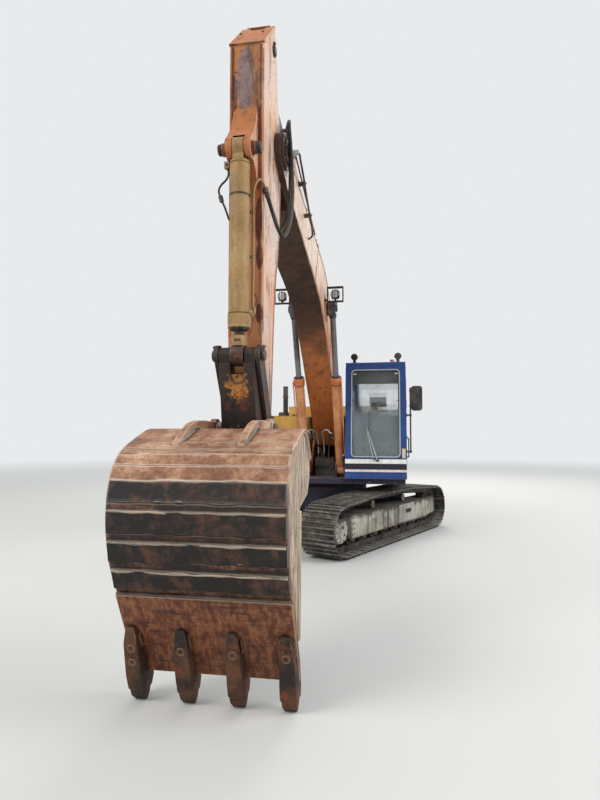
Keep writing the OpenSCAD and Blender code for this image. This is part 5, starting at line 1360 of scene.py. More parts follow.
def make_cab_sides():
    """Window seals, the door's handles and hinges, and the cab's seams."""
    door = Piece("cab_door_trim")
    for low, high in (LOW_WINDOW_Z, WINDOW_Z):
        window_seal(door, pane_outline(low, high, SEAL_OUT), pane_outline(low, high, SEAL_IN), CAB_SIDE, 1)
    door.box((0.95, 1.055), (CAB_SIDE - 0.002, CAB_SIDE + 0.006), (1.734, 1.778), "black", 0.004)
    door.box((0.965, 1.04), (CAB_SIDE + 0.006, CAB_SIDE + 0.024), (1.75, 1.766), "black", 0.005)
    door.tube(curve([at(0.34, 1.4, CAB_SIDE), at(0.34, 1.4, CAB_SIDE + 0.045),
                     at(0.34, 1.44, CAB_SIDE + 0.05), at(0.34, 1.68, CAB_SIDE + 0.05),
                     at(0.34, 1.72, CAB_SIDE + 0.045), at(0.34, 1.72, CAB_SIDE)], 4), 0.011, "black", 10)
    for z in (1.3, 2.25):
        for rise in (0.018, 0.052):
            door.bolt(at(0.28, z + rise, CAB_SIDE + 0.004), ACROSS, 0.007)
    door.done("cab_door", "black")

    walls = Piece("cab_window_trim")

    def pane(u0, u1, margin):
        z0, z1 = WINDOW_Z
        return corners(u0 + margin, u1 - margin, z0 + margin, z1 - margin)

    window_seal(walls, pane(-0.345, 0.155, SEAL_OUT), pane(-0.345, 0.155, SEAL_IN), CAB_SIDE, 1)
    window_seal(walls, pane(-0.305, 0.95, SEAL_OUT), pane(-0.305, 0.95, SEAL_IN), 0.411, -1)
    rear = [[at(-0.455, 2.505 + y, CAB_MIDDLE + x)
             for x, y in rounded(0.753 + grow, 0.55 + grow, 0.06 + grow / 2)] for grow in (0.028, -0.024)]
    walls.ringed(*rear, FORWARD * -0.007, "rubber", 0.002)
    # Gutters along the roof, and the rear post's seam and bolts
    for v in (0.416, 1.379):
        walls.tube([at(-0.42, 2.888, v), at(1.02, 2.888, v)], 0.009, "cab", 8)
    walls.tube([at(0.2, 1.16, CAB_SIDE + 0.001), at(0.2, 2.87, CAB_SIDE + 0.001)], 0.004, "rubber", 6)
    for u in (-0.4, -0.1):
        walls.bolt(at(u, 1.2, CAB_SIDE), ACROSS, 0.009)
    walls.done("upper", "black")


def make_cab_top():
    """Roof lamps, the red lens and the mirror."""
    lamps = Piece("cab_lamp_glasses")
    for v in (0.545, 1.262):
        lamps.turned([(0, 0.057), (0.016, 0.057), (0.02, 0.053), (0.02, 0.046)], at(0.924, ROOF_LAMP_Z, v),
                     FORWARD, "black")
        lamps.turned([(0, 0.047), (0.003, 0.03), (0.005, 0.01)], at(0.944, ROOF_LAMP_Z, v),
                     FORWARD, "rubber", 24)
        lamps.turned([(0, 0.05), (0.03, 0.036), (0.045, 0.02)], at(0.86, ROOF_LAMP_Z, v),
                     FORWARD * -1, "black", 24)
        lamps.box((0.86, 0.94), (v - 0.036, v + 0.036), (2.977, 2.985), "black", 0.003)
        for side in (-1, 1):
            lamps.bolt(at(0.9, ROOF_LAMP_Z, v + side * 0.054), ACROSS * side, 0.008)
    lamps.done("upper", "black")
    beacon = Piece("red_roof_lens")
    beacon.bar(0.044, 0.012, at(0.9, 2.977, 1.168), UP, "black", 24)
    beacon.turned([(0, 0.038), (0.03, 0.037), (0.044, 0.028), (0.05, 0.012)], at(0.9, 2.989, 1.168),
                  UP, "red", 24)
    beacon.done("upper", "black")

    mirror = Piece("mirror_housing")
    head = [at(1.139, 2.37 + y, 1.55 + x) for x, y in rounded(0.178, 0.398, 0.045)]
    mirror.slab(head, FORWARD * 0.028, "black", 0.01, 3)
    mirror.slab([at(1.137, 2.37 + y, 1.55 + x) for x, y in rounded(0.158, 0.378, 0.036)], FORWARD * -0.004,
                "mirror", 0.001)
    mirror.tube(curve([at(MIRROR_U, 1.5, MIRROR_V), at(MIRROR_U, 1.9, MIRROR_V + 0.0005),
                       at(MIRROR_U, 2.54, MIRROR_V)], 4), 0.013, "black", 12)
    for z in (1.52, 2.1):
        mirror.tube([at(MIRROR_U, z, 1.386), at(MIRROR_U, z, MIRROR_V)], 0.013, "black", 12)
        mirror.cap(0.03, 0.008, 0.004, at(MIRROR_U, z, 1.3845), ACROSS, "black", 20)
        mirror.turned([(-0.02, 0.02), (0.02, 0.02)], at(MIRROR_U, z, MIRROR_V), UP, "black", 16, 0.003)
    for z in (2.25, 2.49):
        mirror.box((1.13, 1.176), (1.432, 1.478), (z - 0.016, z + 0.016), "black", 0.005)
    mirror.done("upper", "black", "mirror")


def cushion(name, centre, size, lean, channels, corner=6.0, cloth="seat"):
    """A stuffed pad: full in the middle, pulled in at its seams, with sewn channels across its front."""
    piece = Piece(name)
    part = bmesh.new()
    bmesh.ops.create_cube(part, size=2.0)
    bmesh.ops.subdivide_edges(part, edges=part.edges[:], cuts=15, use_grid_fill=True)
    turn = Matrix.Rotation(lean, 3, "X")
    half = Vector(size) / 2

    def place(x, y, z):
        return centre + turn @ Vector((x * half.x, y * half.y, z * half.z))

    for vert in part.verts:
        x, y, z = vert.co
        flat = (abs(x) ** corner + abs(z) ** corner) ** (1 / corner)
        round_off = max(abs(x), abs(z)) / flat if flat else 1.0
        x, z = x * round_off, z * round_off
        shrink = (max(abs(x), abs(z)) ** 6 + abs(y) ** 6) ** (-1 / 6)
        x, y, z = x * shrink, y * shrink, z * shrink
        crown = (1 - x * x) * (1 - z * z)
        groove = min(min(abs(z - c) for c in channels) / 0.06, 1.0) if abs(x) < 0.8 else 1.0
        y *= 0.86 + 0.14 * crown - 0.1 * (1 - groove) * (y < 0)
        x *= 0.97 + 0.03 * z * z
        vert.co = place(x, y, z)
    piece.add(part, cloth)
    rim = [(math.cos(t), math.sin(t)) for t in (2 * math.pi * i / 48 for i in range(49))]
    edge = [(x * f, z * f) for x, z in rim
            for f in [(abs(x) ** corner + abs(z) ** corner) ** (-1 / corner) * 0.965]]
    for y in (-0.52, 0.52):
        piece.tube([place(x, y, z) for x, z in edge], 0.0035, "blind", 6)
    piece.done("upper", "black", "seat")


def make_seat():
    """The padded seat on its bellows, and the levers' grips."""
    cushion("seat_cushion", at(SEAT_U + 0.01, 1.61, CAB_MIDDLE), (0.5, 0.118, 0.5),
            math.radians(90), (-0.35, 0.3))
    cushion("seat_back", at(SEAT_U - 0.275, 1.93, CAB_MIDDLE), (0.48, 0.115, 0.6), math.radians(11.7),
            (-0.45, 0.0, 0.4), 3.0)
    cushion("seat_headrest", at(SEAT_U - 0.347, 2.383, CAB_MIDDLE), (0.31, 0.085, 0.18), math.radians(4),
            (0.0,), 2.2, "headrest")
    base = Piece("seat_frame")
    base.box((SEAT_U - 0.18, SEAT_U + 0.18), (CAB_MIDDLE - 0.16, CAB_MIDDLE + 0.16), (1.15, 1.22),
             "black", 0.008)
    for i in range(6):
        z, grow = 1.23 + i * 0.045, 0.012 * (i % 2)
        base.box((SEAT_U - 0.165 - grow, SEAT_U + 0.165 + grow),
                 (CAB_MIDDLE - 0.145 - grow, CAB_MIDDLE + 0.145 + grow), (z, z + 0.05), "rubber", 0.014, 3)
    base.box((SEAT_U - 0.23, SEAT_U + 0.25), (CAB_MIDDLE - 0.235, CAB_MIDDLE + 0.235), (1.5, 1.552),
             "plastic", 0.012)
    for side in (-1, 1):
        base.tube([at(SEAT_U - 0.335, 2.17, CAB_MIDDLE + side * 0.045),
                   at(SEAT_U - 0.343, 2.34, CAB_MIDDLE + side * 0.045)], 0.007, "pin", 10)
    base.done("upper", "black", "seat")

    levers = Piece("lever_grips")
    for side in (-1, 1):
        v = CAB_MIDDLE + side * 0.33
        foot = at(SEAT_U + 0.23, 1.729, v)
        levers.turned([(0, 0.05), (0.014, 0.042), (0.02, 0.048), (0.036, 0.036), (0.042, 0.042),
                       (0.06, 0.026)], foot, UP, "rubber", 20)
        levers.turned([(0, 0.024), (0.05, 0.027), (0.11, 0.03), (0.13, 0.024), (0.138, 0.01)],
                      at(SEAT_U + 0.23, 1.909, v), UP, "rubber", 20)
        levers.box((SEAT_U - 0.25, SEAT_U + 0.1), (v - 0.045, v + 0.045), (1.728, 1.75), "rubber", 0.01, 3)
    levers.done("upper", "black")


# Tracks and their frames

HALF_BASE = 1.72
WHEEL_Z = 0.399
PIN_LINE_R = 0.309
SHOE_TOP = 0.064
GROUSER_H = 0.026
RUN_SHOES = 18
END_SHOES = 5
TOP_RISE = 0.072
TRACK_V = 1.1
SHOE_HALF = 0.3
CHAIN_V = 0.081
ROLLERS = 8
CARRIER = (0.573, 0.664)
DRIVE_BOLTS = 14
COVER_BOLTS = 10
FRAME_HALF = 0.175
FRAME_CORE = 0.112
FRAME_LOW = 0.24
FRAME_TOP = 0.585
FRAME_REAR = -1.81
# Opening of the track adjuster in the frame's side, and the panel round it
SLOT = (-0.72, -0.5, 0.404, 0.471)
PANEL = (-0.865, -0.24, 0.262, 0.566)


def chain_pins():
    """The chain's pins (u, z), from the rear end of the lower run and round the front."""
    rise_end = HALF_BASE - 6 * 2 * HALF_BASE / RUN_SHOES

    def top(u):
        share = 1.0 if abs(u) < rise_end else (HALF_BASE - abs(u)) / (HALF_BASE - rise_end)
        return WHEEL_Z + PIN_LINE_R + TOP_RISE * share

    step = 2 * HALF_BASE / RUN_SHOES
    pins = [(-HALF_BASE + i * step, WHEEL_Z - PIN_LINE_R) for i in range(RUN_SHOES)]
    pins += arc((HALF_BASE, WHEEL_Z), PIN_LINE_R, -90, 90, END_SHOES)[:-1]
    pins += [(HALF_BASE - i * step, top(HALF_BASE - i * step)) for i in range(RUN_SHOES)]
    pins += arc((-HALF_BASE, WHEEL_Z), PIN_LINE_R, 90, 270, END_SHOES)[:-1]
    return [Vector(p) for p in pins]


def make_track(side, word):
    """One track: a ribbed shoe and two links for each pitch of its chain."""
    piece = Piece(f"track_{word}_shoes")
    middle = side * TRACK_V
    pins = chain_pins()
    tip = SHOE_TOP + GROUSER_H
    for i, (a, b) in enumerate(zip(pins, pins[1:] + pins[:1])):
        way = (b - a).normalized()
        out = Vector((way[1], -way[0]))
        centre, half = (a + b) / 2, (b - a).length / 2 - 0.002

        def spot(s, h, centre=centre, way=way, out=out):
            return tuple(centre + way * s + out * h)

        plate, foot = 0.05, 0.011
        profile = [(-half, plate), (half - 0.02, plate), (half - 0.012, 0.041), (half + 0.033, 0.039),
                   (half + 0.034, 0.046), (half, 0.052), (half, SHOE_TOP), (half - 0.006, tip),
                   (half - 0.014, tip), (half - 0.02, SHOE_TOP), (foot, SHOE_TOP), (0.005, tip),
                   (-0.005, tip), (-foot, SHOE_TOP), (0.02 - half, SHOE_TOP), (0.014 - half, tip),
                   (0.006 - half, tip), (-half, SHOE_TOP)]
        bend = noise.noise(Vector((i * 1.7, side * 3.0, 0))) * 0.004

        def clipped(p, bend=bend):
            reach = (abs(p.x - middle) / SHOE_HALF) ** 8
            return p + Vector((0, 0, bend * reach * 0.5))

        piece.prism([spot(s, h) for s, h in profile], middle - SHOE_HALF, middle + SHOE_HALF, "shoe",
                    0.003, 1, clipped)
        for strand in (-1, 1):
            v = middle + strand * CHAIN_V
            link = [spot(-half - 0.03, -0.02), spot(-half - 0.03, 0.03), spot(-half + 0.01, 0.049),
                    spot(half - 0.01, 0.049), spot(half + 0.01, 0.02), spot(half - 0.005, -0.05),
                    spot(-half + 0.03, -0.05)]
            piece.prism(link, v - 0.018, v + 0.018, "wheel", 0.003, 1)
            piece.turned([(0, 0.03), (0.007, 0.03), (0.007, 0.017), (0.004, 0.016)],
                         at(*a, middle + strand * (CHAIN_V + 0.018)), ACROSS * strand, "pin", 10)
            for s in (-0.045, 0.045):
                head = at(*spot(s, SHOE_TOP - 0.001), v)
                piece.cap(0.014, 0.011, 0.003, head, heading(*out), "bolt", 6)
        piece.bar(0.021, 0.126, at(*a, middle - 0.063), ACROSS, "pin", 8)
    piece.done("undercarriage", "rust", f"track_{word}")


def ring_of_bolts(piece, hub, radius, count, start, v, axis, size):
    """Bolts on a circle about a hub."""
    for turn in range(count):
        angle = turn * 2 * math.pi / count + start
        piece.bolt(at(hub[0] + radius * math.cos(angle), hub[1] + radius * math.sin(angle), v), axis, size)


def make_running_gear():
    """Travel drives, rollers' saddles and caps, and the frames' plates."""
    gear = Piece("travel_drives")
    frames = Piece("track_frame_trim")
    first, step = -HALF_BASE + 0.48, (2 * HALF_BASE - 0.86) / (ROLLERS - 1)
    hub = (HALF_BASE, WHEEL_Z)
    flat_plate = ((FRAME_REAR, 0.285), (-1.39, FRAME_LOW), (1.39, FRAME_LOW), (1.39, FRAME_TOP),
                  (FRAME_REAR, FRAME_TOP))
    nosed_plate = ((FRAME_REAR, 0.285), (-1.39, FRAME_LOW), (1.46, FRAME_LOW), (1.78, 0.299), (1.78, 0.499),
                   (1.4, FRAME_TOP), (FRAME_REAR, FRAME_TOP))
    panel, slot = corners(*PANEL), corners(*SLOT)
    for side in (-1, 1):
        def across(distance, side=side):
            return side * (TRACK_V + distance)

        out = ACROSS * side
        gear.turned([(0, 0.2), (0.016, 0.2), (0.02, 0.194)], at(*hub, across(0.062)), out, "wheel", 44)
        gear.turned([(0, 0.179), (0.082, 0.178), (0.1, 0.168), (0.104, 0.12), (0.116, 0.112), (0.12, 0.1)],
                    at(*hub, across(0.102)), out, "frame", 44)
        ring_of_bolts(gear, hub, 0.187, DRIVE_BOLTS, 0.2, across(0.08), out, 0.012)
        ring_of_bolts(gear, hub, 0.145, COVER_BOLTS, 0.0, across(0.203), out, 0.009)
        gear.turned([(0, 0.026), (0.008, 0.026), (0.012, 0.02)], at(hub[0], hub[1] + 0.06, across(0.218)),
                    out, "bolt", 6)
        gear.bar(0.022, 0.008, at(hub[0] - 0.045, hub[1] - 0.05, across(0.218)), out, "bolt", 6)
        # Rollers' saddles and bolts below the frame
        for i in range(ROLLERS):
            u = first + i * step
            for end in (-1, 1):
                low, high = sorted((across(end * 0.114), across(end * 0.168)))
                saddle = [(u - 0.07, FRAME_LOW), (u - 0.05, 0.195), (u + 0.05, 0.195),
                          (u + 0.07, FRAME_LOW)]
                frames.prism(saddle, low, high, "wheel", 0.006)
                frames.turned([(0, 0.036), (0.008, 0.034), (0.012, 0.026)],
                              at(u, 0.218, across(end * 0.168)), out * end, "wheel", 14)
        # Carrier rollers' caps and their brackets' bolts
        for u in (-CARRIER[0], CARRIER[0]):
            z = CARRIER[1]
            gear.turned([(0, 0.058), (0.01, 0.054), (0.014, 0.03)], at(u, z, across(0.1)),
                        out, "bright", 24)
            gear.turned([(0, 0.016), (0.01, 0.014)], at(u, z, across(0.113)), out, "bolt", 6)
        # Frame: outer and inner plate, the box between them, the panel round the adjuster's slot, and a
        # black plate as painted shade inside the slot
        for outline, low, high in ((flat_plate, FRAME_CORE, FRAME_HALF),
                                   (nosed_plate, -FRAME_HALF, -FRAME_CORE)):
            frames.prism(outline, *sorted((across(low), across(high))), "frame", 0.008)
        frames.box((-1.3, 1.385), sorted((across(-0.12), across(0.12))), (0.31, 0.583), "frame", 0.004)
        face = across(FRAME_HALF)
        low, high = sorted((face - side * 0.002, face + side * 0.002))
        # A thin black plate in the slot's opening: painted shade for the slot's depth
        frames.box((-0.73, -0.49), (low, high), (0.395, 0.48), "rubber", 0.001)
        frames.ringed([at(u, z, face) for u, z in panel], [at(u, z, face) for u, z in slot],
                      out * 0.009, "panel")
        frames.weld([at(u, z, face + side * 0.009) for u, z in slot + slot[:1]], 0.005, "panel")
        for z, u0, u1 in ((0.578, -1.8, 1.38), (0.247, -1.36, 1.38)):
            frames.seam(at(u0, z, face), at(u1, z, face), 0.006, "frame", 0.06)
        for u in (1.3, 1.36):
            for z in (0.3, 0.38, 0.46, 0.54):
                frames.bolt(at(u, z, face), out, 0.009)
        for u in (0.86, 0.2, -1.2):
            frames.seam(at(u, 0.26, face), at(u, 0.57, face), 0.0035, "frame", 0.05)
    gear.done("undercarriage", "cream")
    frames.done("undercarriage", "cream", "track_frame_left", "track_frame_right")


def make_tracks():
    """Both tracks."""
    make_track(1, "left")
    make_track(-1, "right")


# Engine house, tanks and counterweight

DOOR_V = 1.364
DOOR_Z = (1.1, 2.105)
TANK_V = (-1.354, -0.405)
# Top of the fuel tank and of the hydraulic tank
TANK_TOPS = (2.12, 2.11)
EXHAUST = (-1.45, -1.1)
HOOD_GRIP_U = -1.9
LIFTING_EYE = (-2.36, 2.33)
COUNTERWEIGHT_FRONT = -1.9803
COUNTERWEIGHT_TAIL = 2.78
COUNTERWEIGHT_HALF = 1.374
BLOCK_FACE_U = 0.58
RAIL_V = -1.294
BOOM_LAMP_Z = 3.841


def circle(radius, count=24):
    """Points of a circle about the origin."""
    return [(radius * math.cos(t), radius * math.sin(t))
            for t in (2 * math.pi * i / count for i in range(count))]


def latch(piece, u, z, v, side):
    """A flush paddle latch in a side door."""
    piece.slab([at(u + x, z + y, v) for x, y in rounded(0.11, 0.075, 0.018)], ACROSS * (0.006 * side),
               "black", 0.003)
    low, high = sorted((v + side * 0.006, v + side * 0.014))
    piece.box((u - 0.035, u + 0.035), (low, high), (z - 0.014, z + 0.018), "pin", 0.004)


def side_door(name, body, side, ends, louvre_ends, heights, latch_u):
    """Louvre hoods, folded rim, hinges' bolts and latches of one side door."""
    piece = Piece(name)
    face = side * DOOR_V
    for z in heights:
        hood = [(0.0, 0.0), (0.014, -0.002), (0.016, -0.01), (0.006, 0.026), (0.0, 0.034)]
        u0, u1 = louvre_ends
        outline = [at(u0, z + 0.028 + y, face + side * x) for x, y in hood]
        piece.slab(outline, FORWARD * (u1 - u0), "house", 0.002, 1)
    z0, z1 = DOOR_Z
    outer = corners(ends[0] + 0.006, ends[1] - 0.006, z0, z1)
    inner = corners(ends[0] + 0.03, ends[1] - 0.03, z0 + 0.024, z1 - 0.024)
    piece.ringed([at(u, z, face) for u, z in outer], [at(u, z, face) for u, z in inner],
                 ACROSS * (0.005 * side), "house", 0.003)
    for z in (1.2, 1.95):
        latch(piece, latch_u, z, face, side)
    for z in (1.235, 1.885):
        for rise in (0.016, 0.054):
            piece.bolt(at(ends[0] + 0.03, z + rise, face + side * 0.004), ACROSS * side, 0.007)
    piece.done(body, "yellow")


def make_house_doors():
    """Louvres, rims and latches of the doors on both sides."""
    side_door("radiator_door_trim", "radiator_door", 1, (-1.89, -0.6), (-1.72, -0.76),
              [1.375 + i * 0.07 for i in range(9)], -0.68)
    side_door("pump_door_trim", "pump_door", -1, (-1.89, -1.1), (-1.74, -1.25),
              [1.725 + i * 0.07 for i in range(4)], -1.17)


def make_hood():
    """Ribs, grips and louvres of the engine hood, and the exhaust's rims and rain cap."""
    hood = Piece("engine_hood_trim")
    for u in (-1.75, -1.3, -0.85):
        hood.box((u - 0.04, u + 0.04), (-0.8, 0.8), (2.327, 2.338), "house", 0.006, 3)
    for v in (-0.55, 0.55):
        grip = ((2.33, -0.07), (2.37, -0.065), (2.376, -0.04), (2.376, 0.04), (2.37, 0.065), (2.33, 0.07))
        hood.tube(curve([at(HOOD_GRIP_U, z, v + x) for z, x in grip], 3), 0.009, "black", 10)
        hood.box((-1.968, -1.958), (v - 0.03, v + 0.03), (2.16, 2.23), "black", 0.004)
        for i in range(6):
            z = 2.17 + i * 0.022
            for side in (-1, 1):
                low, high = sorted((side * 0.868, side * 0.874))
                middle = -1.2 + v * 0.5
                hood.box((middle - 0.16, middle + 0.16), (low, high), (z, z + 0.009), "rubber", 0.002, 1)
    hood.done("engine_hood", "yellow")

    pipe = Piece("exhaust_cap")
    u, v = EXHAUST
    pipe.bar(0.058, 0.02, at(u, 2.3, v), UP, "rusty", 28, 0.003)
    pipe.bar(0.06, 0.03, at(u, 2.56, v), UP, "rusty", 28, 0.004)
    pipe.bar(0.095, 0.006, at(u, 2.1815, v), UP, "rusty", 28, 0.002)
    for turn in range(4):
        pipe.bolt(at(u + 0.078 * math.cos(turn * 1.57), 2.187, v + 0.078 * math.sin(turn * 1.57)), UP,
                  0.008)
    pipe.slab([at(u + x * 0.057, 2.786 + x * 0.006, v + y * 0.057) for x, y in circle(1.0)], UP * 0.004,
              "rusty", 0.001)
    pipe.tube([at(-1.515, 2.79, v - 0.03), at(-1.515, 2.79, v + 0.03)], 0.009, "rusty", 10)
    pipe.box((-1.52, -1.505), (v - 0.02, v + 0.02), (2.72, 2.79), "rusty", 0.003)
    pipe.done("upper", "black")


def make_tanks():
    """Caps, covers and seams of the tanks, the steps up the tool box, and treads on the roof panels."""
    piece = Piece("tank_and_deck_trim")
    # Filler caps, dipsticks and bolted covers on the tanks
    for u, v, z, radius in ((0.0, -0.62, TANK_TOPS[1], 0.06), (-0.55, -0.65, TANK_TOPS[0], 0.055)):
        piece.bar(radius + 0.014, 0.012, at(u, z, v), UP, "house", 28, 0.003)
        piece.cap(radius, 0.03, 0.006, at(u, z + 0.012, v), UP, "black")
        for turn in range(10):
            rib_u = u + radius * math.cos(turn * math.pi / 5)
            rib_v = v + radius * math.sin(turn * math.pi / 5)
            piece.box((rib_u - 0.006, rib_u + 0.006), (rib_v - 0.006, rib_v + 0.006), (z + 0.014, z + 0.04),
                      "black", 0.002, 1)
    piece.bar(0.13, 0.012, at(-0.72, TANK_TOPS[0], -1.0), UP, "house", 36, 0.004)
    for turn in range(8):
        t = turn * math.pi / 4
        piece.bolt(at(-0.72 + 0.11 * math.cos(t), 2.132, -1.0 + 0.11 * math.sin(t)), UP, 0.009)
    # Edges of the tanks' tops, and a seam low on their outer side
    for u0, u1, top in ((-0.99, -0.385, TANK_TOPS[0]), (-0.365, 0.24, TANK_TOPS[1])):
        for v in (TANK_V[0] + 0.004, TANK_V[1] - 0.004):
            piece.tube([at(u0, top - 0.006, v), at(u1, top - 0.006, v)], 0.009, "house", 8)
        piece.seam(at(u0 + 0.02, 1.13, TANK_V[0] - 0.001), at(u1 - 0.02, 1.13, TANK_V[0] - 0.001), 0.006,
                   "house", 0.05)
    # Steps up the tool box, with raised treads and its lid's handle
    for u0, u1, z in ((0.27, 0.69, 1.7), (0.71, 1.01, 1.4)):
        piece.box((u0, u1), (TANK_V[0] + 0.01, TANK_V[1] - 0.01), (z, z + 0.008), "house", 0.004)
        piece.box((u0 + 0.04, u1 - 0.04), (-1.28, -0.5), (z + 0.008, z + 0.012), "rubber", 0.002)
        for i in range(9):
            v = -1.24 + i * 0.088
            piece.box((u0 + 0.06, u1 - 0.06), (v - 0.012, v + 0.012), (z + 0.011, z + 0.017),
                      "bolt", 0.003, 1)
    piece.box((1.018, 1.024), (-1.3, -0.46), (1.14, 1.36), "house", 0.005)
    latch_v = -0.88
    piece.box((1.022, 1.032), (latch_v - 0.05, latch_v + 0.05), (1.3, 1.335), "black", 0.004)
    for v in (-1.26, -0.5):
        for z in (1.16, 1.34):
            piece.bolt(at(1.024, z, v), FORWARD, 0.008)
    # Treads on the roof panels beside the hood
    for end, v in ((-0.7, (0.93, 1.32)), (-1.62, (-1.32, -1.19))):
        piece.box((-1.9, end), v, (2.16, 2.166), "rubber", 0.002)
    # Ribs of the bulkhead behind the boom
    for v in (-0.25, 0.0, 0.25):
        piece.box((-0.531, -0.52), (v - 0.03, v + 0.03), (1.75, 2.08), "house", 0.006)
    # Seams behind the radiator's door
    for u in (-1.86, -1.92):
        piece.seam(at(u, 1.12, 1.366), at(u, 2.1, 1.366), 0.003, "house", 0.08)
    piece.done("upper", "yellow")


def make_counterweight():
    """The counterweight's casting with its lifting eyes."""
    piece = Piece("counterweight_casting")
    tail, side = COUNTERWEIGHT_TAIL, COUNTERWEIGHT_HALF
    end = math.asin(side / tail)
    line = [(-tail * math.cos(t), tail * math.sin(t)) for t in (end - 2 * end * i / 28 for i in range(29))]
    outline = [(COUNTERWEIGHT_FRONT, side)] + line + [(COUNTERWEIGHT_FRONT, -side)]
    piece.slab([at(u, 1.052, v) for u, v in outline], UP * 1.216, "navy", 0.045, 4)
    for v in (-0.7, 0.7):
        u, z = LIFTING_EYE
        eye, hole = ([at(u + x, z + y, v - 0.03) for x, y in circle(radius)] for radius in (0.062, 0.031))
        piece.ringed(eye, hole, ACROSS * 0.06, "navy", 0.006)
        for way in (-1, 1):
            foot = u + way * 0.034
            piece.prism([(foot, z), (u + way * 0.11, 2.262), (foot, 2.262)], v - 0.03, v + 0.03,
                        "navy", 0.005)
    # Parting lines, and black discs as painted shade in the tie bolts' pockets and a towing hole
    for z in (1.28, 2.05):
        piece.weld([at(u - 0.001, z, v) for u, v in line[1:-1]], 0.004, "navy")
    # Tie bolts' pockets: black discs, painted shade for their depth
    for v in (-0.95, 0.95):
        u = -math.sqrt((tail - 0.01) ** 2 - v * v)
        way = Vector((v, -u, 0)).normalized()
        piece.turned([(0, 0.05), (0.012, 0.05), (0.014, 0.034), (0.006, 0.03)], at(u, 1.2, v),
                     way, "black", 24)
    # Towing hole: a black disc, painted shade for its depth
    piece.turned([(0, 0.07), (0.016, 0.07), (0.018, 0.048), (0.008, 0.044)], at(-tail + 0.008, 1.16, 0),
                 FORWARD * -1, "black")
    piece.done("upper", "navy", "counterweight")


def make_frame_front():
    """Seams, pin heads and fittings at the front of the revolving frame, and the handrail by the steps."""
    piece = Piece("revolving_frame_trim")
    # Boom foot's plates: bosses, pin heads and seams
    for side in (-1, 1):
        piece.seam(at(0.3, 1.09, side * 0.212), at(0.9, 1.09, side * 0.212), 0.009, "navy", 0.05)
        end_cap(piece, BOOM_FOOT, side * 0.262, side, 0.06)
    for v in (-1.2, -0.8, 0.8, 1.2):
        piece.bolt(at(1.2155, 1.03, v), FORWARD, 0.011)
    piece.seam(at(1.2155, 1.075, -1.3), at(1.2155, 1.075, 1.3), 0.005, "navy", 0.08)
    # Valve block: bolt heads, plugs and the stubs' nuts
    for v in (-0.14, -0.05, 0.04, 0.13):
        for z in (1.13, 1.33):
            piece.bolt(at(BLOCK_FACE_U, z, v), FORWARD, 0.009)
        piece.turned([(0, 0.026), (0.02, 0.026), (0.026, 0.018)], at(BLOCK_FACE_U, 1.235, v),
                     FORWARD, "pin", 12)
    for i in range(5):
        piece.bar(0.027, 0.022, at(0.5, 1.371, -0.12 + 0.06 * i), UP, "pin", 6)
    piece.done("upper", "navy")

    rail = Piece("step_handrail")
    v = RAIL_V
    rail.tube(curve([at(0.96, 1.4, v), at(0.96, 1.7, v), at(0.96, 2.2, v), at(0.95, 2.26, v),
                     at(0.91, 2.284, v), at(0.72, 2.285, v), at(0.53, 2.284, v), at(0.49, 2.26, v),
                     at(0.48, 2.2, v), at(0.48, 1.9, v), at(0.48, 1.7, v)], 3), 0.015, "black", 12)
    for u, z in ((0.96, 1.408), (0.48, 1.708)):
        rail.turned([(0, 0.04), (0.008, 0.04), (0.012, 0.034)], at(u, z, v), UP, "black", 20)
        for turn in (0.8, 2.4, 3.9, 5.5):
            rail.bolt(at(u + 0.029 * math.cos(turn), z + 0.008, v + 0.029 * math.sin(turn)), UP, 0.005)
    rail.done("upper", "black", "handrails")


def make_boom_lamps():
    """Lamps on the boom with their guards."""
    piece = Piece("boom_lamp_guards")
    for v in (0.365, -0.425):
        front, u = 2.236, 2.198
        piece.ringed([at(u - 0.03, BOOM_LAMP_Z + y, v + x) for x, y in rounded(0.124, 0.124, 0.03)],
                     [at(u - 0.03, BOOM_LAMP_Z + y, v + x) for x, y in rounded(0.108, 0.108, 0.025)],
                     FORWARD * 0.03, "black")
        piece.turned([(0, 0.058), (0.004, 0.04), (0.006, 0.012)], at(front - 0.006, BOOM_LAMP_Z, v),
                     FORWARD, "lamp")
        piece.ring(at(front - 0.003, BOOM_LAMP_Z, v), FORWARD, 0.06, 0.005, "tooth", 28)
        for x in (-0.036, 0.0, 0.036):
            piece.tube([at(front + 0.004, 3.736, v + x), at(front + 0.006, 3.946, v + x)],
                       0.0035, "tooth", 8)
        for y in (-0.105, 0.105):
            piece.tube([at(front + 0.003, BOOM_LAMP_Z + y, v - 0.115),
                        at(front + 0.003, BOOM_LAMP_Z + y, v + 0.115)], 0.006, "tooth", 8)
        for side in (-1, 1):
            piece.bolt(at(u, BOOM_LAMP_Z, v + side * 0.12), ACROSS * side, 0.008)
    piece.done("boom", "cream")


# Settings, stage, operators and panel

# The photograph's camera: place in metres, way across the ground, pitch, and focus in pixels
CAMERA_PLACE = (1.237, SWING_Y - 10.255, 1.85)
CAMERA_WAY = (-0.1706, 0.9853)
CAMERA_PITCH = math.radians(3.156)
FOCUS_PIXELS = 559.65
PICTURE_PIXELS = 800.0
SENSOR_MM = 36.0
# The studio's lamps: name, place, size in metres, power in watts and colour
LAMPS = (
    ("key", (-9.0, -13.0, 13.0), 9.0, 1500.0, (1.0, 0.97, 0.93)),
    ("side", (14.0, -4.0, 10.0), 9.0, 1300.0, (0.95, 0.97, 1.0)),
    ("back", (2.0, 15.0, 12.0), 10.0, 1400.0, (1.0, 0.98, 0.95)),
)
LAMP_TARGET = Vector((0.0, 0.0, 2.0))
FILL_COLOUR = (0.92, 0.96, 1.0, 1.0)
FILL_STRENGTH = 0.62
# Where the floor starts to fade into the backdrop and where it has gone, in metres from the middle
FLOOR_FADE = (9.0, 34.0)


def colour_setting(name, description, default):
    return bpy.props.FloatVectorProperty(
        name=name, description=description, subtype="COLOR", size=4, min=0.0, max=1.0, default=default
    )


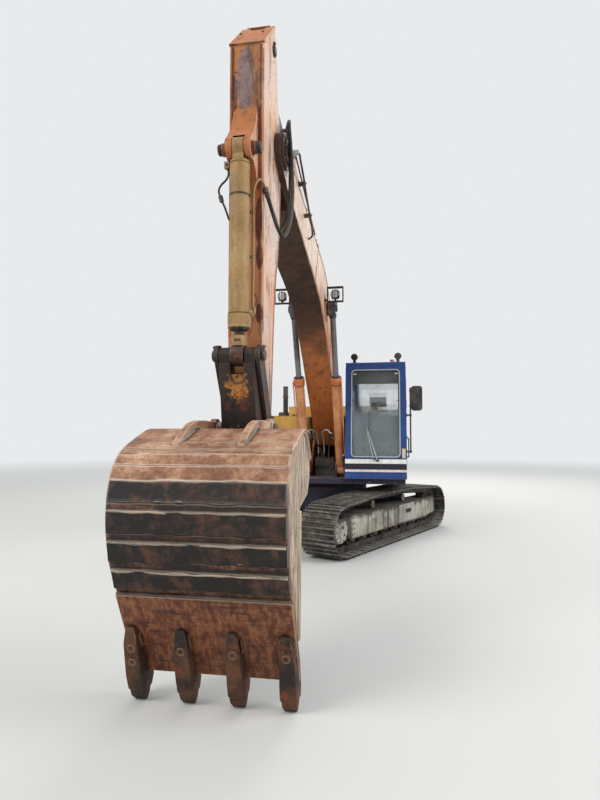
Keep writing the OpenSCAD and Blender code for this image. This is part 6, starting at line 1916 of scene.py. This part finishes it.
def size_setting(name, description, default):
    return bpy.props.FloatProperty(
        name=name, description=description, subtype="DISTANCE", unit="LENGTH", min=0.0, default=default
    )


class ExcavatorSizes(bpy.types.PropertyGroup):
    arm_hose: size_setting("Arm hose", "Radius of the hoses from boom to stick", 0.017)
    foot_hose: size_setting("Foot hose", "Radius of the hoses to the boom cylinders", 0.0115)
    ram_pipe: size_setting("Cylinder pipe", "Radius of the pipes along the cylinders", 0.011)
    floor: size_setting("Floor", "Radius of the studio floor", 90.0)


class ExcavatorColours(bpy.types.PropertyGroup):
    boom: colour_setting("Boom", "Orange of the boom and stick", shade(190, 110, 56))
    ram: colour_setting("Bucket cylinder", "Ochre of the bucket cylinder", shade(158, 120, 60))
    house: colour_setting("House", "Yellow of the engine house", shade(222, 172, 70))
    frame: colour_setting("Revolving frame", "Navy of the frame and counterweight", shade(26, 34, 60))
    cab: colour_setting("Cab", "Blue of the cab", shade(0, 60, 126))
    floor: colour_setting("Floor", "Pale studio floor", shade(214, 214, 210))
    sky: colour_setting("Backdrop", "Pale studio backdrop", shade(232, 234, 236))


class EXCAVATOR_OT_stage(bpy.types.Operator):
    """Pale floor, soft studio light and the photograph's camera"""

    bl_idname = "excavator.stage"
    bl_label = "Stage"

    def execute(self, context):
        make_stage(context.scene.excavator_colours, context.scene.excavator_sizes)
        return {"FINISHED"}


class EXCAVATOR_OT_finishes(bpy.types.Operator):
    """Weathered paint, steel and glass on every CAD node"""

    bl_idname = "excavator.finishes"
    bl_label = "Finishes"

    def execute(self, context):
        make_finishes(context.scene.excavator_colours)
        dress_nodes()
        return {"FINISHED"}


def place_camera(scene):
    """The camera as the photograph was taken."""
    lens = bpy.data.cameras.new("photo_lens")
    lens.sensor_width = SENSOR_MM
    lens.lens = FOCUS_PIXELS * SENSOR_MM / PICTURE_PIXELS
    lens.clip_end = 400.0
    camera = bpy.data.objects.new("photo_camera", lens)
    scene.collection.objects.link(camera)
    level = math.cos(CAMERA_PITCH)
    look = Vector((CAMERA_WAY[0] * level, CAMERA_WAY[1] * level, math.sin(CAMERA_PITCH)))
    camera.location = CAMERA_PLACE
    camera.rotation_euler = look.to_track_quat("-Z", "Y").to_euler()
    scene.camera = camera


def place_world(scene, sky):
    """A soft fill for the object, and the pale backdrop for the camera, metal and glass."""
    scene.world = bpy.data.worlds.new("studio")
    scene.world.use_nodes = True
    world = Nodes(scene.world.node_tree)
    rays = ("Camera", "Transmission", "Glossy")
    camera, clear, glossy = (world.node("LightPath", output=f"Is {ray} Ray") for ray in rays)
    seen = world.math("MAXIMUM", world.math("MAXIMUM", camera, clear), glossy)
    fill = world.node("Background", None, {"Color": FILL_COLOUR, "Strength": FILL_STRENGTH})
    backdrop = world.node("Background", None, {"Color": sky})
    mixed = world.node("MixShader", None, {0: seen, 1: fill, 2: backdrop})
    world.node("OutputWorld", None, {"Surface": mixed})


def make_stage(colours, sizes):
    """Camera, world, floor and lamps."""
    scene = bpy.context.scene
    place_camera(scene)
    place_world(scene, colours.sky)

    floor_mesh = bmesh.new()
    bmesh.ops.create_circle(floor_mesh, cap_ends=True, segments=96, radius=sizes.floor)
    data = bpy.data.meshes.new("studio_floor")
    floor_mesh.to_mesh(data)
    floor_mesh.free()
    floor = bpy.data.objects.new("studio_floor", data)
    scene.collection.objects.link(floor)
    s = Shader("studio_floor")
    away = s.node("VectorMath", {"operation": "LENGTH"}, {0: s.place}, "Value")
    matt = s.node("BsdfDiffuse", None, {"Color": colours.floor})
    glow = s.node("Emission", None, {"Color": colours.sky, "Strength": 1.0})
    faded = s.node("MixShader", None, {0: away.smooth(*FLOOR_FADE), 1: matt, 2: glow})
    s.node("OutputMaterial", None, {"Surface": faded})
    floor.data.materials.append(s.material)

    for name, place, size, power, colour in LAMPS:
        light = bpy.data.lights.new(name, "AREA")
        light.shape = "DISK"
        light.size = size
        light.energy = power
        light.color = colour
        lamp = bpy.data.objects.new(name, light)
        scene.collection.objects.link(lamp)
        lamp.location = place
        lamp.rotation_euler = (LAMP_TARGET - Vector(place)).to_track_quat("-Z", "Y").to_euler()
    scene.view_settings.view_transform = "Standard"


class EXCAVATOR_PT_panel(bpy.types.Panel):
    """The excavator's sizes and colours, and the steps that build its looks"""

    bl_idname = "EXCAVATOR_PT_panel"
    bl_label = "Excavator"
    bl_space_type = "VIEW_3D"
    bl_region_type = "UI"
    bl_category = "Excavator"

    def draw(self, context):
        for operator in STEPS:
            self.layout.operator(operator.bl_idname)
        for group in (context.scene.excavator_sizes, context.scene.excavator_colours):
            for key in type(group).__annotations__:
                self.layout.prop(group, key)


def piece_operator(name, label, note, *makers):
    """An operator that builds a group of like pieces."""

    def execute(self, context):
        for make in makers:
            make()
        return {"FINISHED"}

    return type(f"EXCAVATOR_OT_{name}", (bpy.types.Operator,), {
        "__doc__": note, "bl_idname": f"excavator.{name}", "bl_label": label, "execute": execute})


STEPS = [
    EXCAVATOR_OT_stage,
    EXCAVATOR_OT_finishes,
    piece_operator("bucket", "Bucket", "Bucket shell with wear strips, and its teeth",
                   make_bucket, make_teeth),
    piece_operator("arm", "Arm", "Trim, welds and pins of the linkage, stick and boom", make_linkage,
                   make_stick_trim, make_boom_trim),
    piece_operator("rams", "Cylinders", "Glands, bands and feed pipes of the cylinders", make_rams),
    piece_operator("hoses", "Hoses", "Hydraulic hoses and pipes", make_hoses),
    piece_operator("cab", "Cab", "Seals, wiper, lamps and mirror of the cab", make_cab_front,
                   make_cab_sides, make_cab_top),
    piece_operator("seat", "Seat", "Padded seat and lever grips", make_seat),
    piece_operator("tracks", "Tracks", "Shoes, links, drives and frames of the undercarriage", make_tracks,
                   make_running_gear),
    piece_operator("house", "House", "Doors, hood, tanks, counterweight and rails of the upper structure",
                   make_house_doors, make_hood, make_tanks, make_counterweight, make_frame_front,
                   make_boom_lamps),
]
CLASSES = [ExcavatorSizes, ExcavatorColours, *STEPS, EXCAVATOR_PT_panel]


def register():
    for cls in CLASSES:
        bpy.utils.register_class(cls)
    bpy.types.Scene.excavator_sizes = bpy.props.PointerProperty(type=ExcavatorSizes)
    bpy.types.Scene.excavator_colours = bpy.props.PointerProperty(type=ExcavatorColours)


def unregister():
    del bpy.types.Scene.excavator_colours
    del bpy.types.Scene.excavator_sizes
    for cls in reversed(CLASSES):
        bpy.utils.unregister_class(cls)


def main():
    """Build everything in order and write the sizes."""
    random.seed(4)
    register()
    for step in STEPS:
        group, action = step.bl_idname.split(".")
        getattr(getattr(bpy.ops, group), action)()


if __name__ == "__main__":
    main()
